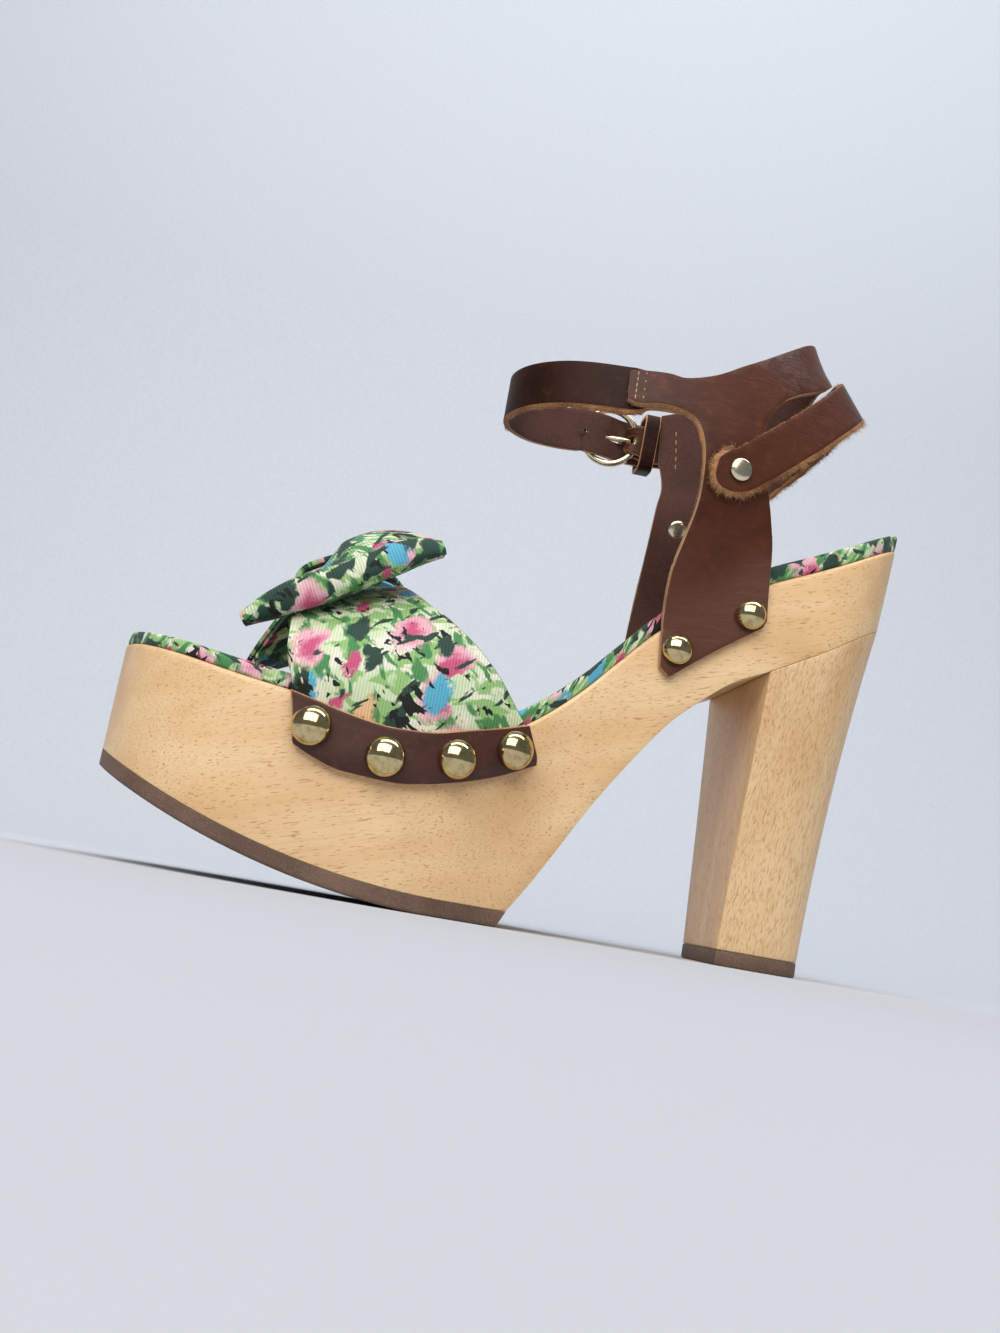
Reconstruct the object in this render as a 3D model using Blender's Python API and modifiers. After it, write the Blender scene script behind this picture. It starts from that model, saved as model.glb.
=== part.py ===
# Platform sandal, right shoe: carved wooden platform and block heel, cloth vamp with a ribbon bow,
# leather quarter, ankle strap with a ring buckle, and a riveted strap round the heel.
# Lengths are in millimetres and become metres when a mesh is made.
# Frame: toe toward -X, heel toward +X, inner side of the foot toward -Y, +Z up, floor at z = 0.
import math

import bmesh
import bpy
import numpy as np
from mathutils import Matrix, Vector

MM = 0.001
INNER = -1
OUTER = 1

# Driving dimensions
TOE = 3.4
HEEL = 217.0
GAP = 0.3
OUTSOLE_THICKNESS = 4.0
OUTSOLE_REAR = 112.0
TOE_SPRING = 25.6
SPRING_START = 97.0
SPRING_POWER = 2.0
PLATFORM_REAR = 114.1
SEAT_FRONT = 176.1
SEAT_HEIGHT = 80.6
SEAT_SLOPE = 0.565
BACK_LEAN = 0.106
EDGE_ROUND = 1.6
HEEL_TIP_THICKNESS = 4.2
HEEL_TIP_HALF = 16.8
HEEL_TIP_FRONT = 175.5
HEEL_TIP_BACK = 203.2
HEEL_HOLLOW = 1.6
INSOLE_INSET = 0.7
VAMP_THICKNESS = 1.0
VAMP_ROUND_FRONT = 1.88
VAMP_ROUND_REAR = 2.08
STRIP_THICKNESS = 1.8
QUARTER_THICKNESS = 2.0
STRAP_THICKNESS = 1.8
STRAP_HALF = 6.6
BACK_STRAP_THICKNESS = 2.0
BACK_STRAP_HALF = 5.9
BIG_STUD = (10.0, 4.3)
SMALL_STUD = (8.5, 3.7)
RIVET = (6.4, 1.3)
RING_RADIUS = 8.75
RING_WIRE = 1.1
PRONG_WIRE = 0.9
BOW_CENTRE_X = 56.6
BOW_TILT = 28.0
BOW_THICKNESS = 1.2
KNOT_THICKNESS = 1.5

# Plan outline of the platform: x from the toe, inner edge, outer edge
PLAN = [
    (3.4, -11, 1), (5.2, -20, 10), (7.9, -26.5, 17), (12.4, -33.5, 24.5), (20.6, -40, 33.5),
    (36, -46.3, 43), (50, -48.2, 46.5), (77, -48.8, 48), (95, -44.8, 45.5), (108, -38.6, 41.3),
    (124, -31.8, 36.3), (144, -28.3, 32.5), (160, -27.8, 30.2), (176, -28.6, 29.6),
    (188, -28.8, 29.4), (198, -27.2, 27.6), (206, -23.2, 23.6), (211, -18.2, 18.6),
    (214, -13.3, 13.7), (216, -7.8, 8.2), (217, -3, 3.5),
]
# Upper face of the wood: x, height
WOOD_TOP = [
    (3.4, 56.2), (8, 55.4), (20.8, 53.2), (36.3, 50.2), (50, 48.3), (64.9, 46.9), (79.8, 46.2),
    (94.8, 46.9), (107.9, 50.2), (113, 53.7), (124.2, 63.8), (134.4, 75.3), (144.6, 86.4),
    (156.8, 95.5), (172.6, 105), (186.3, 111.6), (197.6, 117.4), (217, 129.3),
]
# Under face of the arch: x, height
ARCH = [
    (114.1, 4.3), (119, 11.6), (123.6, 19.3), (132.6, 35.1), (143.4, 51.5), (151.3, 62.1),
    (159.6, 70), (166.8, 75.8), (176.1, 80.6),
]
# Insole: x, thickness
BED = [(3.4, 3.0), (40, 3.6), (110, 4.6), (150, 5), (217, 5)]
# Ankle form that the leather follows: height, back x, half width, middle y
ANKLE = [
    (70, 214, 31, 0), (95, 214, 31, 0), (120, 213, 31, -2.5), (140, 209, 30, -5),
    (155, 202.5, 28.5, -5), (166.5, 194.5, 27, -5), (177, 186, 25, -5), (187, 181, 23, -5),
    (200, 176, 21, -5),
]
ANKLE_MIDDLE = 135.0
ANKLE_FRONT = 93.5
# Vamp: x, height of the arch at its middle
VAMP_APEX = [(40, 75.6), (46.6, 78), (60, 83), (72, 87), (85, 90.2), (110, 94.2)]
# Vamp edges: share of the way across, front x, rear x
VAMP_EDGES = [
    (0, 50.8, 109.4), (0.03, 49.6, 106.6), (0.08, 48, 102), (0.14, 47.4, 95.2), (0.2, 47, 87.4),
    (0.26, 46.8, 80.4), (0.36, 46.4, 74.2), (0.5, 46, 70.5), (0.64, 46.4, 74.2), (0.74, 46.8, 80.4),
    (0.8, 47, 87.4), (0.86, 47.4, 95.2), (0.92, 48, 102), (0.97, 49.6, 106.6), (1, 50.8, 109.4),
]
# Leather strip on the side of the platform: bottom x, bottom z, top x, top z
STRIP = [
    (54.3, 35.2, 51, 47.8), (60, 32.6, 57.5, 46.4), (67.3, 30.6, 64.8, 44.8), (79, 30.2, 76.7, 43.2),
    (87, 31.4, 85, 43.8), (94.6, 33.5, 92.5, 45.8), (105, 37.6, 101.2, 48.6), (114.6, 42.6, 110.2, 51.8),
]
STRIP_STUDS = [(57.8, 39.8), (76.5, 35.7), (92.8, 38.7), (106.8, 44.3)]
QUARTER_STUDS = [(148.9, 81), (168.0, 94.6)]
# Outline of the quarter, one table for each side, from the tab's end down the front edge, along the
# foot and up the rear edge to the back. Turn is in degrees from the side toward the back.
# A row whose third value is 1 is a corner.
QUARTER_INNER = [
    (-15.6, 154.6, 1), (-15.5, 150.3, 0), (-15.2, 146.6, 1), (-10.8, 145.6, 0), (-2, 146.7, 0),
    (4.3, 146.1, 0), (7.5, 143.2, 0), (9.1, 137, 0), (9.5, 129, 0), (9.2, 120.9, 0), (7.6, 111.1, 0),
    (6.4, 102, 0), (6.4, 90.5, 0), (7.3, 75.6, 1), (9.4, 73.2, 1), (17.5, 82.1, 0), (27.9, 91.8, 1),
    (28.6, 94, 1), (28.2, 101, 0), (27.7, 114, 0), (26.2, 122.2, 0), (24.5, 129.4, 0), (23, 137, 0),
    (23, 144, 0), (24.1, 149.2, 0), (26.4, 153.1, 0), (30.9, 157.8, 0), (36.1, 160.9, 0),
    (42.9, 163.6, 0), (60, 169.4, 0), (78, 174.3, 0), (90, 175.6, 1),
]
QUARTER_OUTER = [
    (9.9, 168, 1), (9.9, 160, 0), (9.9, 153, 1), (10.8, 150, 0), (11.4, 144.7, 0), (10.6, 138.3, 0),
    (9.8, 124, 0), (9.2, 109, 0), (8.6, 92, 0), (8.2, 76.6, 1), (10.2, 74.4, 1), (17.8, 82.6, 0),
    (27.9, 91.8, 1), (28.6, 94, 1), (28.2, 101, 0), (27.7, 114, 0), (26.2, 122.2, 0), (24.5, 129.4, 0),
    (23.4, 137, 0), (23.6, 145, 0), (25, 151, 0), (27.8, 155.6, 0), (32.4, 159.6, 0), (38, 162.4, 0),
    (45, 164.8, 0), (60, 169.4, 0), (78, 174.3, 0), (90, 175.6, 1),
]
# Upper edge of the quarter from the back to each tab: turn, height
TOP_INNER = [
    (-15.6, 154.6), (-14.4, 155.5), (-1.3, 156.4), (3.6, 156.2), (11.1, 159.3), (20.2, 165),
    (32.8, 171.5), (44.4, 176.6), (54.6, 180.2), (70, 184.6), (90, 187),
]
TOP_OUTER = [
    (9.9, 168), (12.7, 168.9), (19.8, 171), (32.8, 174.5), (44.4, 177.6), (54.6, 180.6),
    (70, 184.6), (90, 187),
]
# Middle line of the strap round the heel: turn, height
BACK_STRAP_PATH = [
    (11.4, 132), (14, 131.8), (17, 132.6), (20, 135.4), (25, 140), (33, 147.2), (45, 156.2),
    (60, 163.4), (78, 168.6), (90, 169.6),
]
# Middle line of the ankle strap: turn (falling from the inner side over the front), height, offset
STRAP_PATH = [
    (4, 151.2, -1.3), (-8, 151, -1.3), (-18, 151, -1.2), (-45, 151.6, -0.8), (-90, 152, -0.5),
    (-125, 153.6, -0.2), (-145, 155.6, 0.2), (-157.5, 157.2, 0.4),
]
# Strap through the buckle: distance behind the ring's middle, offset from the ankle form
STRAP_BUCKLE = [
    (-9, 0.5), (-6, 0.5), (-3.5, 0.8), (-1.5, 1.6), (0, 2.5), (1.5, 3.5), (3, 4.5), (5.75, 5.8),
    (7.5, 6.5), (9.5, 6.8), (12, 6.6), (15, 6), (20, 5.5), (24, 5.3), (28, 3.7), (31, 3.3), (34, 3.3),
    (36, 3.3),
]
STRAP_END = [(-9, 6.6), (29, 6.6), (32, 6.1), (34, 5), (36, 2.6)]
RING_X = 130.0
RING_Z = 158.4
# Bow, outward from its middle: distance, half width, half of the loop's height, lift of the middle
BOW = [
    (0, 5.6, 1.5, 0), (4, 5.8, 1.6, 0), (7, 7.2, 1.8, 0.2), (12, 13.2, 2.6, 0.2), (18, 18.2, 3.4, -1),
    (25, 22.8, 3.9, -3.6), (32, 25.8, 3.8, -7.4), (37.5, 27, 3.1, -11.2), (40, 27.4, 2.4, -13.4),
    (42, 27.4, 0, -15.2),
]


def smooth(rows, column=1):
    # Cubic through the rows of a table that never overshoots them
    xs = np.array([row[0] for row in rows], float)
    ys = np.array([row[column] for row in rows], float)
    step = np.diff(xs)
    slope = np.diff(ys) / step
    tangent = np.zeros(len(xs))
    tangent[0] = slope[0]
    tangent[-1] = slope[-1]
    for i in range(1, len(xs) - 1):
        if slope[i - 1] * slope[i] > 0:
            before = 2 * step[i] + step[i - 1]
            after = step[i] + 2 * step[i - 1]
            tangent[i] = (before + after) / (before / slope[i - 1] + after / slope[i])

    def value(x):
        x = min(max(x, xs[0]), xs[-1])
        i = min(max(int(np.searchsorted(xs, x)) - 1, 0), len(step) - 1)
        t = (x - xs[i]) / step[i]
        start = (1 + 2 * t) * (1 - t) ** 2 * ys[i] + t * (1 - t) ** 2 * step[i] * tangent[i]
        end = t * t * (3 - 2 * t) * ys[i + 1] + t * t * (t - 1) * step[i] * tangent[i + 1]
        return float(start + end)

    return value


def ease(t):
    t = min(max(t, 0.0), 1.0)
    return t * t * (3 - 2 * t)


def unit(v):
    return v / np.linalg.norm(v)


# Wooden platform as functions of x


def station(x):
    return math.acos(1 - 2 * (min(max(x, TOE), HEEL) - TOE) / (HEEL - TOE)) / math.pi


inner_edge = smooth([(station(x), a) for x, a, b in PLAN])
outer_edge = smooth([(station(x), b) for x, a, b in PLAN])
wood_top = smooth(WOOD_TOP)
arch = smooth(ARCH)
bed = smooth(BED)


def edge_y(side, x):
    return inner_edge(station(x)) if side == INNER else outer_edge(station(x))


def on_side(side, x, z, off):
    slope = edge_y(side, x + 0.5) - edge_y(side, x - 0.5)
    size = math.hypot(slope, 1)
    return np.array([x - side * slope / size * off, edge_y(side, x) + side / size * off, z])


def side_normal(side, x):
    return unit(on_side(side, x, 0, 1) - on_side(side, x, 0, 0))


def floor_curve(x):
    return TOE_SPRING * max(SPRING_START - x, 0) ** SPRING_POWER / SPRING_START ** SPRING_POWER


def seat(x):
    return SEAT_HEIGHT + SEAT_SLOPE * (x - SEAT_FRONT)


def wood_under(x):
    if x <= PLATFORM_REAR:
        return floor_curve(x) + OUTSOLE_THICKNESS + GAP
    if x <= SEAT_FRONT:
        return arch(x)
    return seat(x)


def lean(x, z):
    return x + BACK_LEAN * (z - 129) * ease((x - 188) / 29)


# Ankle form as a function of turn and height

back_x = smooth(ANKLE, 1)
half_width = smooth(ANKLE, 2)
middle_y = smooth(ANKLE, 3)


def ankle_base(turn, z):
    sine = math.sin(math.radians(turn))
    cosine = math.cos(math.radians(turn))
    reach = back_x(z) - ANKLE_MIDDLE if sine >= 0 else ANKLE_MIDDLE - ANKLE_FRONT
    x = ANKLE_MIDDLE + reach * sine
    y = middle_y(z) - half_width(z) * cosine
    if abs(cosine) > 0.2 and z < 135 and x < 200:
        side = INNER if cosine > 0 else OUTER
        foot = on_side(side, x, z, GAP)[1]
        y = foot + (y - foot) * ease((z - wood_top(x) - 2) / 28)
    return np.array([x, y, z])


def ankle_normal(turn, z):
    along = ankle_base(turn + 0.5, z) - ankle_base(turn - 0.5, z)
    upward = ankle_base(turn, z + 0.5) - ankle_base(turn, z - 0.5)
    return unit(np.cross(along, upward))


def ankle(turn, z, off=0.0):
    return ankle_base(turn, z) + off * ankle_normal(turn, z)


def outer_turn(x, z):
    # Turn at which the outer side of the ankle form has this x
    if x >= ANKLE_MIDDLE:
        return 180 - math.degrees(math.asin((x - ANKLE_MIDDLE) / (back_x(z) - ANKLE_MIDDLE)))
    return 180 + math.degrees(math.asin((ANKLE_MIDDLE - x) / (ANKLE_MIDDLE - ANKLE_FRONT)))


# Scene helpers

for old in list(bpy.data.objects):
    bpy.data.objects.remove(old)

parts = bpy.data.collections.new("platform_sandal")
bpy.context.scene.collection.children.link(parts)
root = bpy.data.objects.new("sandal_root", None)
parts.objects.link(root)


def material(name, colour, roughness, metallic=0.0):
    mat = bpy.data.materials.new(name)
    mat.use_nodes = True
    shader = mat.node_tree.nodes["Principled BSDF"]
    shader.inputs["Base Color"].default_value = (*colour, 1)
    shader.inputs["Roughness"].default_value = roughness
    shader.inputs["Metallic"].default_value = metallic
    return mat


WOOD = material("wood", (0.72, 0.47, 0.24), 0.5)
RUBBER = material("rubber", (0.12, 0.075, 0.055), 0.7)
CLOTH = material("printed_cloth", (0.3, 0.42, 0.26), 0.8)
LEATHER = material("leather", (0.11, 0.036, 0.016), 0.45)
BRASS = material("brass", (0.78, 0.6, 0.33), 0.15, 1.0)


def add_object(name, bm, mat, smooth_angle=35):
    bm.verts.ensure_lookup_table()
    for vert in bm.verts:
        vert.co *= MM
    mesh = bpy.data.meshes.new(name)
    bm.to_mesh(mesh)
    bm.free()
    mesh.materials.append(mat)
    mesh.shade_smooth()
    mesh.set_sharp_from_angle(angle=math.radians(smooth_angle))
    obj = bpy.data.objects.new(name, mesh)
    parts.objects.link(obj)
    obj.parent = root
    return obj


def loft(name, rings, mat, ruled_end=False):
    # Closed solid through rings of equal count, capped at both ends; a ruled end runs straight across
    bm = bmesh.new()
    loops = [[bm.verts.new(Vector(p)) for p in ring] for ring in rings]
    count = len(rings[0])
    for a, b in zip(loops, loops[1:]):
        for k in range(count):
            n = (k + 1) % count
            bm.faces.new((a[k], a[n], b[n], b[k]))
    bm.faces.new(loops[0][::-1])
    if ruled_end:
        end = loops[-1]
        for k in range(count // 2):
            strip = [end[k], end[k + 1], end[count - 2 - k], end[count - 1 - k]]
            bm.faces.new(list(dict.fromkeys(strip)))
    else:
        bm.faces.new(loops[-1])
    bmesh.ops.recalc_face_normals(bm, faces=bm.faces)
    return add_object(name, bm, mat)


def sheet(name, rows, thickness, mat, offset=0.0, closed=False, holes=()):
    # Open or closed grid of points given a wall by Solidify
    bm = bmesh.new()
    grid = [[bm.verts.new(Vector(p)) for p in row] for row in rows]
    count = len(grid) if closed else len(grid) - 1
    for i in range(count):
        a = grid[i]
        b = grid[(i + 1) % len(grid)]
        for j in range(len(a) - 1):
            if (i, j) not in holes:
                bm.faces.new((a[j], b[j], b[j + 1], a[j + 1]))
    loose = [v for v in bm.verts if not v.link_faces]
    bmesh.ops.delete(bm, geom=loose, context="VERTS")
    obj = add_object(name, bm, mat)
    add_wall(obj, thickness, offset)
    return obj


def add_wall(obj, thickness, offset):
    wall = obj.modifiers.new("wall", "SOLIDIFY")
    wall.thickness = thickness * MM
    wall.offset = offset
    wall.use_quality_normals = True


def slab_ring(x, low_y, high_y, low_z, high_z, round_off):
    # Section of a slab with its upper edges rounded
    ring = [(x, low_y, low_z), (x, high_y, low_z)]
    for k in range(4):
        a = math.radians(30 * k)
        ring.append((x, high_y - round_off * (1 - math.cos(a)), high_z - round_off * (1 - math.sin(a))))
    for k in range(4):
        a = math.radians(90 - 30 * k)
        ring.append((x, low_y + round_off * (1 - math.cos(a)), high_z - round_off * (1 - math.sin(a))))
    return ring


def stations(first, last, count, extra=()):
    # Places along the shoe, closer together at its round ends
    a = station(first)
    b = station(last)
    shares = [a + (b - a) * i / count for i in range(count + 1)]
    xs = [TOE + (HEEL - TOE) * (1 - math.cos(math.pi * share)) / 2 for share in shares]
    xs = [x for x in xs if all(abs(x - e) > 1.5 for e in extra)]
    return sorted(xs + list(extra))


# Sole pieces


def build_outsole():
    rings = []
    for x in stations(TOE, OUTSOLE_REAR, 22):
        low = floor_curve(x)
        a = edge_y(INNER, x)
        b = edge_y(OUTER, x)
        back = 1.9 if x > OUTSOLE_REAR - 0.5 else 0
        top = low + OUTSOLE_THICKNESS
        rings.append([(x, a + 0.8, low), (x, b - 0.8, low), (x, b, low + 0.8), (x + back, b, top),
                      (x + back, a, top), (x, a, low + 0.8)])
    loft("outsole", rings, RUBBER)


def build_wood_sole():
    rings = []
    for x in stations(TOE, HEEL, 42, (PLATFORM_REAR, SEAT_FRONT)):
        ring = slab_ring(x, edge_y(INNER, x), edge_y(OUTER, x), wood_under(x), wood_top(x), EDGE_ROUND)
        rings.append([(lean(p[0], p[2]), p[1], p[2]) for p in ring])
    loft("wood_sole", rings, WOOD)


def build_insole():
    rings = []
    for x in stations(TOE + 1.2, HEEL - 1.2, 40):
        a = edge_y(INNER, x) + INSOLE_INSET
        b = edge_y(OUTER, x) - INSOLE_INSET
        low = wood_top(x) + GAP
        high = low + bed(x)
        mid = 0.5 * (low + high)
        half = [(0.6, low), (0, low + 0.7), (0, mid + 0.4), (0.5, high - 0.5), (1.6, high)]
        ring = [(lean(x, z), b - inset, z) for inset, z in half]
        ring += [(lean(x, z), a + inset, z) for inset, z in half[::-1]]
        rings.append(ring)
    loft("insole", rings, CLOTH)


def heel_section(t):
    # Plan of the heel at a share t of its height, from the tip to the seat
    count = 22
    points = []
    for k in range(count + 1):
        u = k / count
        share = math.sin(math.pi * u)
        side = INNER if u < 0.5 else OUTER
        low_x = HEEL_TIP_FRONT + (HEEL_TIP_BACK - HEEL_TIP_FRONT) * share
        low_y = side * HEEL_TIP_HALF * max(1 - share ** 3, 0) ** (1 / 2.4)
        high_x = SEAT_FRONT + 0.3 + (HEEL - 0.4 - SEAT_FRONT) * share
        high_y = edge_y(side, high_x)
        top = seat(high_x) - GAP
        high_x = lean(high_x, seat(high_x))
        bow = 4 * t * (1 - t)
        x = low_x + (high_x - low_x) * t - HEEL_HOLLOW * bow * share
        y = low_y + (high_y - low_y) * t
        points.append((x, y * (1 - 0.02 * bow), top))
    return points


def build_heel():
    rings = []
    foot = HEEL_TIP_THICKNESS + GAP
    for t in (0, 0.2, 0.4, 0.6, 0.8, 1):
        ring = []
        for x, y, top in heel_section(t):
            ring.append((x, y, foot + (top - foot) * t))
        rings.append(ring)
    loft("wood_heel", rings, WOOD, ruled_end=True)
    plan = [(x, y) for x, y, top in heel_section(0)]
    middle = 0.5 * (HEEL_TIP_FRONT + HEEL_TIP_BACK)
    rings = []
    for z, scale in ((0, 0.965), (0.6, 1.0), (HEEL_TIP_THICKNESS, 1.0)):
        rings.append([(middle + (x - middle) * scale, y * scale, z) for x, y in plan])
    loft("heel_tip", rings, RUBBER)


# Vamp, strips and studs

vamp_apex = smooth(VAMP_APEX)
vamp_front = smooth(VAMP_EDGES, 1)
vamp_rear = smooth(VAMP_EDGES, 2)


def vamp_arch(x, share):
    # Inner face of the vamp above the footbed
    a = edge_y(INNER, x) - GAP
    b = edge_y(OUTER, x) + GAP
    base = wood_top(x) + 2
    angle = math.pi * share
    cosine = math.cos(angle)
    power = 2 / (VAMP_ROUND_FRONT + (VAMP_ROUND_REAR - VAMP_ROUND_FRONT) * ease((x - 46) / 26))
    y = 0.5 * (a + b) - math.sin(angle) - 0.5 * (b - a) * math.copysign(abs(cosine) ** power, cosine)
    z = base + (vamp_apex(x) - base) * math.sin(angle) ** power
    return np.array([x, y, z])


def strip_point(side, share, v, off):
    # Point of the strip: share along it, v from its bottom to its top edge
    s = share * (len(STRIP) - 1)
    cols = [smooth([(i, row[c]) for i, row in enumerate(STRIP)])(s) for c in range(4)]
    x = cols[0] + (cols[2] - cols[0]) * v
    z = cols[1] + (cols[3] - cols[1]) * v
    return on_side(side, x, z, off)


def build_vamp():
    rows = []
    shares = [0.5 - 0.5 * math.cos(math.pi * (0.06 + 0.88 * k / 22)) for k in range(23)]
    shares[0] = 0.0
    shares[-1] = 1.0
    for i in range(11):
        f = i / 10
        row = []
        for v in (0.36, 0.8):
            row.append(strip_point(INNER, f, v, GAP))
        for share in shares:
            x = vamp_front(share) + (vamp_rear(share) - vamp_front(share)) * f
            row.append(vamp_arch(x, share))
        for v in (0.8, 0.36):
            row.append(strip_point(OUTER, f, v, GAP))
        rows.append(row)
    sheet("vamp", rows, VAMP_THICKNESS, CLOTH, offset=1.0)


def build_strips():
    for side, name in ((INNER, "strip_medial"), (OUTER, "strip_lateral")):
        high = GAP + VAMP_THICKNESS + GAP
        rows = []
        for i in range(15):
            row = []
            for v, off in ((0, GAP + 0.1), (0.24, high), (0.6, high), (1, high)):
                row.append(strip_point(side, i / 14, v, off))
            rows.append(row if side == INNER else row[::-1])
        sheet(name, rows, STRIP_THICKNESS, LEATHER, offset=1.0)


def dome(name, size, mat, place, normal):
    # Turned dome, flat underneath, seated at a place with its axis along a normal
    radius = size[0] / 2
    height = size[1]
    profile = []
    for k in range(6):
        a = math.radians(90 - 90 * k / 5)
        profile.append((radius * math.cos(a), 0, 0.5 + (height - 0.5) * math.sin(a)))
    profile.append((radius * 0.96, 0, 0))
    profile.append((0, 0, 0))
    bm = bmesh.new()
    verts = [bm.verts.new(Vector(p)) for p in profile]
    for a, b in zip(verts, verts[1:]):
        bm.edges.new((a, b))
    obj = add_object(name, bm, mat)
    turn = obj.modifiers.new("turn", "SCREW")
    turn.axis = "Z"
    turn.steps = 11
    turn.render_steps = 11
    turn.use_merge_vertices = True
    turn.merge_threshold = 0.00001
    turn.use_smooth_shade = True
    aim = Vector((0, 0, 1)).rotation_difference(Vector(normal))
    obj.rotation_mode = "QUATERNION"
    obj.rotation_quaternion = aim
    obj.location = Vector(place) * MM
    return obj


def build_studs():
    seat_off = GAP + VAMP_THICKNESS + GAP + STRIP_THICKNESS + GAP + 0.15
    for side, tag in ((INNER, "medial"), (OUTER, "lateral")):
        for i, (x, z) in enumerate(STRIP_STUDS):
            place = on_side(side, x, z, seat_off)
            dome(f"stud_vamp_{tag}_{i + 1}", BIG_STUD, BRASS, place, side_normal(side, x))
        for i, (x, z) in enumerate(QUARTER_STUDS):
            place = on_side(side, x, z, GAP + QUARTER_THICKNESS + GAP + 0.1)
            dome(f"stud_quarter_{tag}_{i + 1}", SMALL_STUD, BRASS, place, side_normal(side, x))


# Leather round the ankle


def through(points, count):
    # Smooth line through points (Catmull-Rom), count steps between each two
    pts = [np.array(p, float) for p in points]
    pts = [2 * pts[0] - pts[1]] + pts + [2 * pts[-1] - pts[-2]]
    line = []
    for i in range(1, len(pts) - 2):
        a, b, c, d = pts[i - 1:i + 3]
        for k in range(count):
            t = k / count
            line.append(0.5 * (2 * b + (c - a) * t + (2 * a - 5 * b + 4 * c - d) * t * t
                               + (3 * b - a - 3 * c + d) * t ** 3))
    line.append(pts[-2])
    return line


def outline(table):
    # Table of an edge as a line that turns sharply only at its corners
    runs = [[]]
    for turn, z, corner in table:
        runs[-1].append((turn, z))
        if corner and len(runs[-1]) > 1:
            runs.append([(turn, z)])
    line = []
    for run in runs:
        if len(run) > 1:
            line += through(run, 2)[:-1]
    line.append(np.array(table[-1][:2], float))
    return line


def build_quarter():
    # Flat pattern in turn and height, cut into a grid, then wrapped round the ankle form
    edge = outline(QUARTER_INNER)
    edge += [np.array([180 - p[0], p[1]]) for p in outline(QUARTER_OUTER)[::-1][1:]]
    edge += [np.array([180 - p[0], p[1]]) for p in through(TOP_OUTER, 2)[1:]]
    edge += through(TOP_INNER, 2)[::-1][1:-1]
    bm = bmesh.new()
    bm.faces.new([bm.verts.new((p[0], p[1], 0)) for p in edge])
    for turn in range(-8, 180, 8):
        geom = bm.verts[:] + bm.edges[:] + bm.faces[:]
        bmesh.ops.bisect_plane(bm, geom=geom, dist=0.01, plane_co=(turn, 0, 0), plane_no=(1, 0, 0))
    for level in range(82, 187, 9):
        geom = bm.verts[:] + bm.edges[:] + bm.faces[:]
        bmesh.ops.bisect_plane(bm, geom=geom, dist=0.01, plane_co=(0, level, 0), plane_no=(0, 1, 0))
    bmesh.ops.remove_doubles(bm, verts=bm.verts, dist=0.6)
    bmesh.ops.dissolve_degenerate(bm, dist=0.05, edges=bm.edges)
    bmesh.ops.recalc_face_normals(bm, faces=bm.faces)
    if sum(face.normal.z * face.calc_area() for face in bm.faces) < 0:
        bmesh.ops.reverse_faces(bm, faces=bm.faces)
    for vert in bm.verts:
        vert.co = Vector(ankle(vert.co.x, vert.co.y))
    obj = add_object("quarter", bm, LEATHER)
    add_wall(obj, QUARTER_THICKNESS, 1.0)


def ribbon(path, offsets, halves, shares):
    # Rows of a strap: path of (turn, height), offset from the form and half width at each point
    mid = [ankle(p[0], p[1], off) for p, off in zip(path, offsets)]
    rows = []
    for i, place in enumerate(mid):
        along = unit(mid[min(i + 1, len(mid) - 1)] - mid[max(i - 1, 0)])
        normal = ankle_normal(path[i][0], path[i][1])
        across = unit(np.cross(normal, along))
        rows.append([place + across * halves[i] * s for s in shares])
    return rows


def build_back_strap():
    inner = through(BACK_STRAP_PATH, 3)
    path = list(inner) + [np.array([180 - p[0], p[1]]) for p in inner[::-1][1:]]
    off = QUARTER_THICKNESS + GAP + 0.4 + BACK_STRAP_THICKNESS / 2
    last = len(path) - 1
    halves = []
    for i in range(len(path)):
        near = min(i, last - i)
        halves.append(BACK_STRAP_HALF * (0.45, 0.72, 0.88, 0.97)[near] if near < 4 else BACK_STRAP_HALF)
    rows = ribbon(path, [off] * len(path), halves, (-1, -0.33, 0.33, 1))
    sheet("back_strap", rows, BACK_STRAP_THICKNESS, LEATHER)
    for tag, turn in (("medial", 16.6), ("lateral", 163.4)):
        place = ankle(turn, 132.5, off + BACK_STRAP_THICKNESS / 2 + GAP + 0.1)
        dome(f"rivet_{tag}", RIVET, BRASS, place, ankle_normal(turn, 132.5))


def buckle_frame():
    # Middle of the ring, with its directions toward the back, upward and outward
    normal = ankle_normal(outer_turn(RING_X + 8, RING_Z), RING_Z)
    place = ankle(outer_turn(RING_X, RING_Z), RING_Z, 2.0)
    along = unit(np.cross(np.array([0, 0, 1.0]), normal)) * -1
    if along[0] < 0:
        along = -along
    return place, along, unit(np.cross(normal, along)), normal


def build_ankle_strap():
    shares = (-1, -0.6, -0.27, 0.27, 0.6, 1)
    path = []
    offs = []
    halves = []
    for p in through(STRAP_PATH, 3)[:-1]:
        path.append((p[0], p[1]))
        offs.append(p[2])
        halves.append(STRAP_HALF)
    first = len(path)
    depth = smooth(STRAP_BUCKLE)
    width = smooth(STRAP_END)
    slots = []
    for k in range(31):
        s = -9 + 1.5 * k
        z = RING_Z - 0.6 + 0.045 * (s + 9)
        path.append((outer_turn(RING_X + s, z) - 360, z))
        offs.append(depth(s))
        halves.append(width(s))
        if -2.9 < s < 4.2:
            slots.append((first + k, 2))
    rows = ribbon(path, offs, halves, shares)
    sheet("ankle_strap", rows, STRAP_THICKNESS, LEATHER, holes=slots)


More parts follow.
